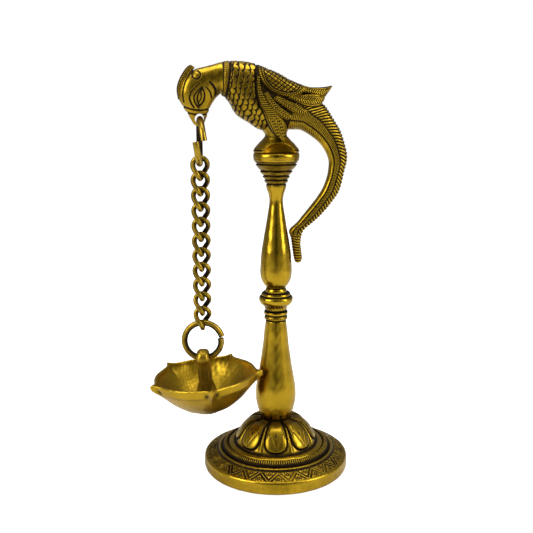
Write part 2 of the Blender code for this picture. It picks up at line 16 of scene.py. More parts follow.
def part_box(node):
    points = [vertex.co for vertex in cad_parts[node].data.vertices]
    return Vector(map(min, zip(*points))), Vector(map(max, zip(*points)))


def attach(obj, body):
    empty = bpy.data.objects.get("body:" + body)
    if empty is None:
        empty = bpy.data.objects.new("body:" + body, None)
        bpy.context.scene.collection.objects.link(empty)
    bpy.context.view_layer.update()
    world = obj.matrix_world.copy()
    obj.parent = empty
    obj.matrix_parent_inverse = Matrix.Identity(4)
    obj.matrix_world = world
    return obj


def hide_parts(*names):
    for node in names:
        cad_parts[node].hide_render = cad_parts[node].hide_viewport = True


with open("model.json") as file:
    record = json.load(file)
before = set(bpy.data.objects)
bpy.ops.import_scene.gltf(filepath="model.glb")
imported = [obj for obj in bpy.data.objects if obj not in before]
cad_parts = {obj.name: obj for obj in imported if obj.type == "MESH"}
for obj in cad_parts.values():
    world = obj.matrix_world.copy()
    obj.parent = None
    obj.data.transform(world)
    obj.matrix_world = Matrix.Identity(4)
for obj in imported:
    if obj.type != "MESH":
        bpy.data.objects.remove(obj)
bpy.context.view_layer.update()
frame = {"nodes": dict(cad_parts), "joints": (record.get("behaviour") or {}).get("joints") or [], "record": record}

bl_info = {
    "name": "Peacock oil lamp",
    "version": (1, 0, 0),
    "blender": (4, 5, 0),
    "location": "View3D > Sidebar > Lamp",
    "description": "Builds a brass standing oil lamp with a peacock, a chain and a hanging dish",
    "category": "Add Mesh",
}

MM = 0.001
JOINTS = {joint["name"]: joint for joint in frame["joints"]}
SPEC = {row["slot"]: row for row in frame["record"]["materials"]}
LINKS = sorted(name for name in frame["nodes"] if name.startswith("chain_link"))
STUDS = ("base_stud", "centre_stud", "bird_stud")


def box_mm(node):
    low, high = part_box(node)
    return low / MM, high / MM


def turned_size(node):
    """Foot, top and radius of a turned piece."""
    low, high = box_mm(node)
    return low.z, high.z, high.x


def joint_place(name):
    return Vector(JOINTS[name]["pos_m"]) / MM


BEAK_HOLE = joint_place("beak_ring_swing")
LUG_HOLE = joint_place("dish_swing")
BIRD_TURN = atan2(-BEAK_HOLE.y, -BEAK_HOLE.x)
FOOT_HIGH = box_mm("base")[1]
CAPITAL_TOP = box_mm("upper_column")[1].z
GAP = box_mm("lower_column")[0].z - FOOT_HIGH.z
BIRD_FOOT = CAPITAL_TOP + GAP


# --- What a user would change ---


class FootSettings(bpy.types.PropertyGroup):
    petals: IntProperty(name="Petals", description="Lotus petals round the dome", default=8, min=3)
    beads: IntProperty(name="Beads", description="Beads round the milled ring", default=150, min=20)
    chevrons: IntProperty(name="Chevrons", description="Chevrons round the border", default=22, min=4)
    chasing: FloatProperty(
        name="Chasing depth", description="Depth of the chased lines", default=0.0005, unit="LENGTH"
    )


class BirdSettings(bpy.types.PropertyGroup):
    scale_width: FloatProperty(
        name="Scale width", description="Width of one breast scale", default=0.0027, unit="LENGTH"
    )
    lattice: FloatProperty(
        name="Lattice", description="Spacing of the lattice on the shoulder", default=0.00165, unit="LENGTH"
    )
    rib: FloatProperty(
        name="Rib", description="Spacing of the ribs on a feather", default=0.00102, unit="LENGTH"
    )
    barb: FloatProperty(
        name="Barb", description="Spacing of the barbs along the tail", default=0.00148, unit="LENGTH"
    )


class ChainSettings(bpy.types.PropertyGroup):
    link_wire: FloatProperty(
        name="Link wire", description="Radius of the wire of a link", default=0.0012, unit="LENGTH"
    )
    ring_wire: FloatProperty(
        name="Ring wire", description="Radius of the wire of a ring", default=0.0015, unit="LENGTH"
    )
    twist: FloatProperty(
        name="Twist", description="Turn of each end of a link", default=radians(-45), subtype="ANGLE"
    )


class DishSettings(bpy.types.PropertyGroup):
    tilt: FloatProperty(
        name="Tilt", description="How far the dish hangs out of level", default=radians(-4.9), subtype="ANGLE"
    )
    turn: FloatProperty(
        name="Front lip", description="Direction of the front lip", default=radians(-79), subtype="ANGLE"
    )
    wall: FloatProperty(
        name="Wall", description="Thickness of the dish's wall", default=0.0014, unit="LENGTH"
    )


class FinishSettings(bpy.types.PropertyGroup):
    polished: FloatVectorProperty(
        name="Polished", description="Brass rubbed bright", subtype="COLOR", default=(0.47, 0.295, 0.018)
    )
    tarnish: FloatVectorProperty(
        name="Tarnish", description="Olive tarnish on brass", subtype="COLOR", default=(0.20, 0.125, 0.006)
    )
    # Colour of the dark patina, also used for the painted shade.
    patina_and_shade: FloatVectorProperty(
        name="Patina_and_shade", description="Dark patina in the lines", subtype="COLOR", default=(0.016, 0.008, 0.002)
    )


class StageSettings(bpy.types.PropertyGroup):
    distance: FloatProperty(
        name="Camera distance", description="From the pillar to the camera", default=0.4, unit="LENGTH"
    )
    height: FloatProperty(
        name="Camera height", description="Height of the camera", default=0.192, unit="LENGTH"
    )
    pitch: FloatProperty(
        name="Pitch", description="How far the camera looks down", default=radians(12.41), subtype="ANGLE"
    )
    lens: FloatProperty(name="Lens", description="Focal length in millimetres", default=56.2)
    floor: FloatVectorProperty(
        name="Floor", description="Colour of the floor", subtype="COLOR", default=(0.90, 0.90, 0.90)
    )
    daylight: FloatProperty(name="Daylight", description="Light from all round", default=0.25, min=0, max=1)


class LampSettings(bpy.types.PropertyGroup):
    foot: PointerProperty(type=FootSettings, name="Foot", description="The round foot")
    bird: PointerProperty(type=BirdSettings, name="Bird", description="The peacock")
    chain: PointerProperty(type=ChainSettings, name="Chain", description="The chain and its rings")
    dish: PointerProperty(type=DishSettings, name="Dish", description="The hanging dish")
    finish: PointerProperty(type=FinishSettings, name="Finish", description="Colours of the brass")
    stage: PointerProperty(type=StageSettings, name="Stage", description="Camera and floor")


def settings():
    return bpy.context.scene.oil_lamp


# --- Smooth lines and chased patterns ---


def flow(knots, values, at):
    """Values on smooth curves through the values at the knots."""
    knots, values = np.asarray(knots, float), np.asarray(values, float)
    slopes = np.gradient(values, knots, axis=0)
    k = np.clip(np.searchsorted(knots, at, side="right") - 1, 0, len(knots) - 2)
    span = (knots[k + 1] - knots[k])[:, None]
    t = (at - knots[k])[:, None] / span
    return (
        (2 * t**3 - 3 * t**2 + 1) * values[k]
        + (t**3 - 2 * t**2 + t) * span * slopes[k]
        + (3 * t**2 - 2 * t**3) * values[k + 1]
        + (t**3 - t**2) * span * slopes[k + 1]
    )


def lengths(points):
    return np.r_[0, np.cumsum(np.linalg.norm(np.diff(np.asarray(points, float), axis=0), axis=1))]


def smooth_line(points, spacing):
    """Points about spacing apart on a smooth line through the given ones."""
    knots = lengths(points)
    return flow(knots, points, np.linspace(0, knots[-1], max(2, ceil(knots[-1] / spacing) + 1)))


def runs(*parts, spacing=0.5):
    """A profile of smooth runs with a corner between each and the next."""
    made = []
    for part in parts:
        made += [tuple(p) for p in smooth_line(part, spacing)]
    apart = [True] + [dist(a, b) > 1e-3 for a, b in zip(made, made[1:])]
    return [place for place, kept in zip(made, apart) if kept]


def nearest(u, z, line):
    """For each point: its distance from a line, how far along the line, and which side (1 is left)."""
    best = np.full(u.shape, 1e9)
    along, side, done = np.zeros(u.shape), np.ones(u.shape), 0.0
    for (x0, z0), (x1, z1) in zip(line, line[1:]):
        dx, dz = x1 - x0, z1 - z0
        length = hypot(dx, dz)
        t = np.clip(((u - x0) * dx + (z - z0) * dz) / length**2, 0, 1)
        distance = np.hypot(u - x0 - t * dx, z - z0 - t * dz)
        hit = distance < best
        best = np.where(hit, distance, best)
        along = np.where(hit, done + t * length, along)
        side = np.where(hit, np.sign(dx * (z - z0) - dz * (u - x0)), side)
        done += length
    return best, along, side


def step(value, edge, soft):
    """0 below the edge and 1 above it, with a soft change between."""
    t = np.clip((value - edge) / soft + 0.5, 0, 1)
    return t * t * (3 - 2 * t)


def wave_distance(value, pitch):
    """Distance from the nearest of a row of places, a pitch apart."""
    return np.abs((value / pitch + 0.5) % 1 - 0.5) * pitch


def bell(value, width):
    """1 where the value is 0, fading to nothing at about twice the width."""
    return np.exp(-((value / width) ** 2))


def round_axis(co):
    """Each point's distance from the lamp's axis and its direction round it."""
    return np.hypot(co[:, 0], co[:, 1]), np.arctan2(co[:, 1], co[:, 0])


def from_edge(edge, top, *steps):
    """Profile points, each given by how far in from an edge and how far down from a top it is."""
    return [(edge - inward, top - down) for inward, down in steps]


class Relief:
    """Height over a smooth surface, in millimetres, and how dark it is: dark patina in its lines, and painted
    shade in some places.
    """

    def __init__(self, like):
        self.height = np.zeros(like.shape)
        self.dark = np.zeros(like.shape)

    def cut(self, distance, width, depth, where=1.0, tone=1.0):
        """A chased line, or several of them, at a distance from its middle."""
        shape = bell(distance, 0.5 * width) * where
        self.height -= depth * shape
        self.darken(np.exp(-((distance / (0.78 * width)) ** 4)) * where * tone)

    def line(self, u, z, points, width=0.5, depth=0.3, where=1.0, tone=1.0):
        distance = nearest(u, z, smooth_line(points, 0.4))[0]
        self.cut(distance, width, depth, where, tone)

    def raise_by(self, amount):
        self.height += amount

    def darken(self, amount):
        self.dark = np.maximum(self.dark, amount)


def unevenness(places):
    """Slight waves that casting and hand filing leave, in millimetres."""
    x, y, z = places[..., 0], places[..., 1], places[..., 2]
    waves = np.sin(0.61 * x + 0.37 * z + 1.3) * np.sin(0.53 * y - 0.29 * z)
    waves += 0.6 * np.sin(1.13 * x - 0.71 * y + 0.4) * np.sin(0.97 * z + 0.6)
    waves += 0.35 * np.sin(1.9 * x + 1.7 * y - 1.3 * z)
    return 0.035 * waves


# --- Meshes ---


def mesh_from(bm, name):
    bmesh.ops.remove_doubles(bm, verts=bm.verts, dist=2e-7)
    bmesh.ops.recalc_face_normals(bm, faces=bm.faces)
    mesh = bpy.data.meshes.new(name)
    bm.to_mesh(mesh)
    bm.free()
    return mesh


def points_of(mesh):
    co = np.empty(len(mesh.vertices) * 3)
    mesh.vertices.foreach_get("co", co)
    return co.reshape(-1, 3)


def float_layer(mesh, name, values):
    layer = mesh.attributes.get(name) or mesh.attributes.new(name, "FLOAT", "POINT")
    layer.data.foreach_set("value", np.asarray(values, np.float32))


def mark_edges(mesh):
    """Stores how much each place of a surface stands proud (up to 1) or is sunk (down to -1)."""
    count = len(mesh.vertices)
    co = points_of(mesh) / MM
    normals = np.empty(count * 3)
    mesh.vertices.foreach_get("normal", normals)
    normals = normals.reshape(-1, 3)
    ends = np.empty(len(mesh.edges) * 2, np.int32)
    mesh.edges.foreach_get("vertices", ends)
    a, b = ends[0::2], ends[1::2]
    links = np.maximum(np.bincount(a, minlength=count) + np.bincount(b, minlength=count), 1)

    def around(values):
        return (
            np.bincount(a, values[b], minlength=count) + np.bincount(b, values[a], minlength=count)
        ) / links

    middle = np.stack([around(co[:, k]) for k in range(3)], axis=1)
    size = np.linalg.norm(co[a] - co[b], axis=1)
    size = (np.bincount(a, size, minlength=count) + np.bincount(b, size, minlength=count)) / links
    bend = np.einsum("ij,ij->i", co - middle, normals) / np.maximum(size, 0.02) ** 2
    bend = np.clip(bend, -4, 4)
    for _ in range(3):
        bend = 0.5 * bend + 0.5 * around(bend)
    float_layer(mesh, "edge", np.clip(bend / 1.6, -1, 1))


def finish_piece(name, mesh, body, slot, nodes, smooth_angle=None):
    """Makes an object of the mesh, which rides on a body and stands for CAD nodes."""
    mesh.materials.clear()
    mesh.materials.append(brass(slot))
    mesh.shade_smooth()
    if smooth_angle:
        mesh.set_sharp_from_angle(angle=smooth_angle)
    if "groove_and_shade" not in mesh.attributes:
        float_layer(mesh, "groove_and_shade", np.zeros(len(mesh.vertices)))
    mark_edges(mesh)
    obj = bpy.data.objects.new(name, mesh)
    bpy.context.scene.collection.objects.link(obj)
    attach(obj, body)
    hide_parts(*nodes)
    return obj


def spun(profile, steps, doublings=4):
    """A turned shape from its closed profile of (radius, height): one sector is spun, then doubled round."""
    sectors = 2**doublings
    bm = bmesh.new()
    verts = [bm.verts.new((r * MM, 0, z * MM)) for r, z in profile]
    edges = [bm.edges.new(pair) for pair in zip(verts, verts[1:])]
    turn = 2 * pi / sectors
    bmesh.ops.spin(
        bm,
        geom=verts + edges,
        cent=(0, 0, 0),
        axis=(0, 0, 1),
        angle=turn,
        steps=round(steps / sectors),
        use_merge=False,
    )
    for k in range(doublings):
        whole = bm.verts[:] + bm.edges[:] + bm.faces[:]
        made = bmesh.ops.duplicate(bm, geom=whole)["geom"]
        copies = [part for part in made if isinstance(part, bmesh.types.BMVert)]
        matrix = Matrix.Rotation(turn * 2**k, 3, "Z")
        bmesh.ops.rotate(bm, verts=copies, cent=(0, 0, 0), matrix=matrix)
    bmesh.ops.remove_doubles(bm, verts=bm.verts, dist=2e-7)
    return bm


def carved(bm, name, pattern=None, waves=1.0):
    """The mesh of a shape, with a pattern of (points, relief) cut into it along its normals."""
    mesh = mesh_from(bm, name)
    co = points_of(mesh) / MM
    normals = np.empty(len(co) * 3)
    mesh.vertices.foreach_get("normal", normals)
    relief = Relief(co[:, 0])
    if pattern:
        pattern(co, relief)
    height = relief.height + waves * unevenness(co)
    co += normals.reshape(-1, 3) * height[:, None]
    mesh.vertices.foreach_set("co", (co * MM).ravel())
    float_layer(mesh, "groove_and_shade", np.clip(relief.dark, 0, 1))
    mesh.update()
    return mesh


def draped_grid(places, dark, name, wrap_rows=False):
    """A grid whose columns run round a shape and whose rows run along it, drawn onto places[row, column]."""
    rows, columns = dark.shape
    bm = bmesh.new()
    row_faces = rows if wrap_rows else rows - 1
    bmesh.ops.create_grid(bm, x_segments=columns, y_segments=row_faces, size=0.5)
    mesh = bpy.data.meshes.new(name)
    bm.to_mesh(mesh)
    bm.free()
    flat = points_of(mesh)
    column = np.rint((flat[:, 0] + 0.5) * columns).astype(int) % columns
    row = np.rint((flat[:, 1] + 0.5) * row_faces).astype(int) % rows
    mesh.vertices.foreach_set("co", (places[row, column] * MM).ravel())
    float_layer(mesh, "groove_and_shade", dark[row, column])
    bm = bmesh.new()
    bm.from_mesh(mesh)
    bpy.data.meshes.remove(mesh)
    return mesh_from(bm, name)


def grid_normals(places, wrap_rows=False):
    """Outward unit normals of places on a grid that goes round in its columns."""
    across = np.roll(places, -1, axis=1) - np.roll(places, 1, axis=1)
    if wrap_rows:
        along = np.roll(places, -1, axis=0) - np.roll(places, 1, axis=0)
    else:
        along = np.gradient(places, axis=0)
    normals = np.cross(along, across)
    normals /= np.maximum(np.linalg.norm(normals, axis=2), 1e-9)[..., None]
    middle = places.mean(axis=1, keepdims=True)
    outward = np.sign(np.einsum("ijk,ijk->", normals, places - middle))
    return normals * outward


def capped(places, dark):
    """Adds rows that close both ends of a tube of places."""
    first, last = places[:1], places[-1:]
    shares = (0.0, 0.45, 0.85)
    ends = []
    for loop, order in ((first, shares), (last, shares[::-1])):
        middle = loop.mean(axis=1, keepdims=True)
        ends.append(np.concatenate([middle + (loop - middle) * share for share in order]))
    tone = [np.repeat(dark[:1], 3, axis=0), np.repeat(dark[-1:], 3, axis=0)]
    return np.concatenate([ends[0], places, ends[1]]), np.concatenate([tone[0], dark, tone[1]])


def tube(name, path, radius, closed, sides=20, pattern=None):
    """Round wire along a path of points."""
    path = np.asarray(path, float)
    count = len(path)
    if closed:
        tangent = np.roll(path, -1, axis=0) - np.roll(path, 1, axis=0)
    else:
        tangent = np.gradient(path, axis=0)
    tangent /= np.linalg.norm(tangent, axis=1)[:, None]
    middle = path.mean(axis=0)
    outward = path - middle
    outward -= tangent * np.einsum("ij,ij->i", outward, tangent)[:, None]
    outward /= np.linalg.norm(outward, axis=1)[:, None]
    side = np.cross(tangent, outward)
    turn = np.arange(sides) * 2 * pi / sides
    offset = outward[:, None] * np.cos(turn)[None, :, None] + side[:, None] * np.sin(turn)[None, :, None]
    along = np.repeat(np.linspace(0, 1, count, endpoint=not closed)[:, None], sides, axis=1)
    relief = Relief(along)
    if pattern:
        pattern(along, np.repeat(turn[None], count, axis=0), relief)
    places = path[:, None] + offset * (radius + relief.height)[..., None]
    dark = np.clip(relief.dark, 0, 1)
    if not closed:
        places, dark = capped(places, dark)
    return draped_grid(places, dark, name, wrap_rows=closed)


def cut_away(obj, tool):
    """The object's mesh with the tool cut out of it, which removes the tool."""
    modifier = obj.modifiers.new("Cut", "BOOLEAN")
    modifier.operation = "DIFFERENCE"
    modifier.solver = "EXACT"
    modifier.object = tool
    bpy.context.view_layer.update()
    graph = bpy.context.evaluated_depsgraph_get()
    mesh = bpy.data.meshes.new_from_object(obj.evaluated_get(graph), depsgraph=graph)
    obj.modifiers.clear()
    bpy.data.objects.remove(tool)
    return mesh


def loose(mesh):
    """An object that carries a mesh while it is being cut."""
    obj = bpy.data.objects.new(mesh.name, mesh)
    bpy.context.scene.collection.objects.link(obj)
    return obj


def drill(mesh, tools):
    """The mesh with each tool's mesh cut out of it."""
    obj = loose(mesh)
    for tool in tools:
        obj.data = cut_away(obj, loose(tool))
    made = obj.data
    bpy.data.objects.remove(obj)
    if "groove_and_shade" not in made.attributes:
        float_layer(made, "groove_and_shade", np.zeros(len(made.vertices)))
    return made


def rod(radius, length, place, axis, sides=64):
    """A plain cylinder to drill with."""
    bm = bmesh.new()
    bmesh.ops.create_cone(
        bm, cap_ends=True, segments=sides, radius1=radius * MM, radius2=radius * MM, depth=length * MM
    )
    turn = Vector((0, 0, 1)).rotation_difference(Vector(axis)).to_matrix().to_4x4()
    bmesh.ops.transform(bm, matrix=Matrix.Translation(Vector(place) * MM) @ turn, verts=bm.verts)
    return mesh_from(bm, "drill")


# --- Brass ---

# For each slot: tarnish, roughness, grain of the casting, lathe lines, share of the record's colour.
FINISHES = {
    "foot_brass": (0.60, 0.27, 0.40, 0.10, 0.0),
    "polished_brass": (0.42, 0.22, 0.05, 0.22, 0.0),
    "cast_brass": (0.70, 0.28, 0.45, 0.0, 0.0),
    "chain_brass": (0.95, 0.33, 0.45, 0.0, 0.15),
    "ring_brass": (0.85, 0.31, 0.40, 0.0, 0.15),
    "dish_brass": (0.34, 0.33, 0.30, 0.10, 0.0),
    "lug_brass": (0.85, 0.38, 0.60, 0.0, 0.10),
    "stud_brass": (0.30, 0.30, 0.30, 0.40, 0.0),
}


class Tree:
    """Makes nodes in a tree and joins them."""

    def __init__(self, tree):
        self.tree = tree
        self.count = 0

    def add(self, kind, *inputs, **fields):
        made = self.tree.nodes.new(kind)
        made.location = (220 * (self.count // 4) - 900, 180 * (self.count % 4))
        self.count += 1
        named = fields.pop("sockets", {})
        for key, value in fields.items():
            setattr(made, key, value)
        for key, value in [*enumerate(inputs), *named.items()]:
            if isinstance(value, bpy.types.NodeSocket):
                self.tree.links.new(value, made.inputs[key])
            elif value is not None:
                made.inputs[key].default_value = value
        return made

    def math(self, operation, *inputs, clamp=False):
        return self.add("ShaderNodeMath", *inputs, operation=operation, use_clamp=clamp).outputs[0]

    def mix(self, share, first, second):
        made = self.add("ShaderNodeMix", data_type="RGBA")
        for key, value in ((0, share), (6, first), (7, second)):
            if isinstance(value, bpy.types.NodeSocket):
                self.tree.links.new(value, made.inputs[key])
            else:
                made.inputs[key].default_value = value
        return made.outputs[2]

    def noise(self, place, scale, detail=3.0, roughness=0.5):
        sockets = {"Vector": place, "Scale": scale, "Detail": detail, "Roughness": roughness}
        return self.add("ShaderNodeTexNoise", sockets=sockets).outputs[0]

    def spread(self, value, low, high):
        made = self.add("ShaderNodeMapRange", value, low, high, 0.0, 1.0, interpolation_type="SMOOTHSTEP")
        return made.outputs[0]


def aged_brass():
    """Tarnish in cloudy patches, dark patina in hollows with painted shade in the same mask, bright edges, casting
    grain and lathe lines.
    """
    if "Aged brass" in bpy.data.node_groups:
        return bpy.data.node_groups["Aged brass"]
    group = bpy.data.node_groups.new("Aged brass", "ShaderNodeTree")
    for name, kind in (
        ("Polished", "NodeSocketColor"),
        ("Tarnish", "NodeSocketColor"),
        ("Patina_and_shade", "NodeSocketColor"),
        ("Tarnish Amount", "NodeSocketFloat"),
        ("Roughness", "NodeSocketFloat"),
        ("Grain", "NodeSocketFloat"),
        ("Lathe", "NodeSocketFloat"),
        ("Groove_and_shade", "NodeSocketFloat"),
        ("Edge", "NodeSocketFloat"),
    ):
        group.interface.new_socket(name, in_out="INPUT", socket_type=kind)
    for name, kind in (
        ("Color", "NodeSocketColor"),
        ("Roughness", "NodeSocketFloat"),
        ("Metallic", "NodeSocketFloat"),
        ("Height", "NodeSocketFloat"),
    ):
        group.interface.new_socket(name, in_out="OUTPUT", socket_type=kind)
    t = Tree(group)
    given = t.add("NodeGroupInput").outputs
    place = t.add("ShaderNodeTexCoord").outputs["Object"]
    cloud = t.noise(place, 95.0, 5.0, 0.6)
    speckle = t.noise(place, 620.0, 4.0, 0.65)
    grain = t.noise(place, 2400.0, 3.0, 0.6)
    pits = t.spread(t.noise(place, 1250.0, 2.0, 0.5), 0.66, 0.78)
    flat = t.add("ShaderNodeMapping", place, sockets={"Scale": (0.04, 0.04, 1.0)}).outputs[0]
    lathe = t.noise(flat, 2600.0, 3.0, 0.7)

    mottling = t.math("MULTIPLY_ADD", given["Grain"], 0.7, 0.02)
    mottle = t.math("MULTIPLY", t.spread(speckle, 0.42, 0.70), mottling)
    patches = t.math("ADD", t.spread(cloud, 0.30, 0.72), mottle)
    tarnish = t.math("MULTIPLY", patches, given["Tarnish Amount"], clamp=True)
    proud = t.math("MAXIMUM", given["Edge"], 0.0)
    sunk = t.math("MAXIMUM", t.math("MULTIPLY", given["Edge"], -1.0), 0.0)
    # The dark mask holds patina in lines and hollows, and painted shade where the patterns put it.
    hollow = t.math("ADD", given["Groove_and_shade"], t.spread(sunk, 0.16, 0.85))
    ragged = t.math("MULTIPLY_ADD", speckle, 0.6, 0.8)
    patina_and_shade = t.math("MULTIPLY", hollow, ragged, clamp=True)
    pitting = t.math("MULTIPLY", pits, t.math("MULTIPLY", given["Grain"], 0.45))
    patina_and_shade = t.math("ADD", patina_and_shade, pitting, clamp=True)
    worn = t.math("SUBTRACT", tarnish, t.math("MULTIPLY", proud, 0.9), clamp=True)
    color = t.mix(worn, given["Polished"], given["Tarnish"])
    color = t.mix(patina_and_shade, color, given["Patina_and_shade"])
    rough = t.math("MULTIPLY_ADD", worn, 0.12, given["Roughness"])
    rough = t.math("MULTIPLY_ADD", patina_and_shade, 0.28, rough)
    uneven = t.math("MULTIPLY", given["Grain"], 0.4)
    rough = t.math("MULTIPLY_ADD", t.math("SUBTRACT", speckle, 0.5), uneven, rough)
    metal = t.math("MULTIPLY_ADD", patina_and_shade, -0.10, 1.0)
    height = t.math("MULTIPLY", t.math("SUBTRACT", grain, 0.5), t.math("MULTIPLY", given["Grain"], 0.55))
    height = t.math("SUBTRACT", height, t.math("MULTIPLY", pits, t.math("MULTIPLY", given["Grain"], 0.8)))
    height = t.math("ADD", height, t.math("MULTIPLY", t.math("SUBTRACT", speckle, 0.5), given["Grain"]))
    height = t.math("MULTIPLY_ADD", t.math("SUBTRACT", lathe, 0.5), given["Lathe"], height)
    t.add("NodeGroupOutput", color, rough, metal, height)
    return group


def brass(slot):
    """The material of one of the record's slots."""
    name = "aged_" + slot
    if name in bpy.data.materials:
        return bpy.data.materials[name]
    finish = settings().finish
    amount, roughness, grain, lathe, dull = FINISHES[slot]
    base = SPEC[slot]["base_color"]
    material = bpy.data.materials.new(name)
    material.use_nodes = True
    t = Tree(material.node_tree)
    shader = material.node_tree.nodes["Principled BSDF"]
    shader.inputs["IOR"].default_value = 1.5
    group = t.add("ShaderNodeGroup", node_tree=aged_brass())
    polished = [(1 - dull) * a + dull * b for a, b in zip(finish.polished, base)]
    tarnish = [(1 - dull) * a + dull * 0.55 * b for a, b in zip(finish.tarnish, base)]
    for label, value in (
        ("Polished", (*polished, 1)),
        ("Tarnish", (*tarnish, 1)),
        ("Patina_and_shade", (*finish.patina_and_shade, 1)),
        ("Tarnish Amount", amount),
        ("Roughness", roughness),
        ("Grain", grain),
        ("Lathe", lathe),
    ):
        group.inputs[label].default_value = value
    for label in ("groove_and_shade", "edge"):
        layer = t.add("ShaderNodeAttribute", attribute_name=label)
        t.tree.links.new(layer.outputs["Fac"], group.inputs[label.capitalize()])
    bump = t.add("ShaderNodeBump", sockets={"Strength": 0.55, "Distance": 0.00008})
    t.tree.links.new(group.outputs["Height"], bump.inputs["Height"])
    for source, target in (("Color", "Base Color"), ("Roughness", "Roughness"), ("Metallic", "Metallic")):
        t.tree.links.new(group.outputs[source], shader.inputs[target])
    t.tree.links.new(bump.outputs[0], shader.inputs["Normal"])
    return material


# --- The foot ---


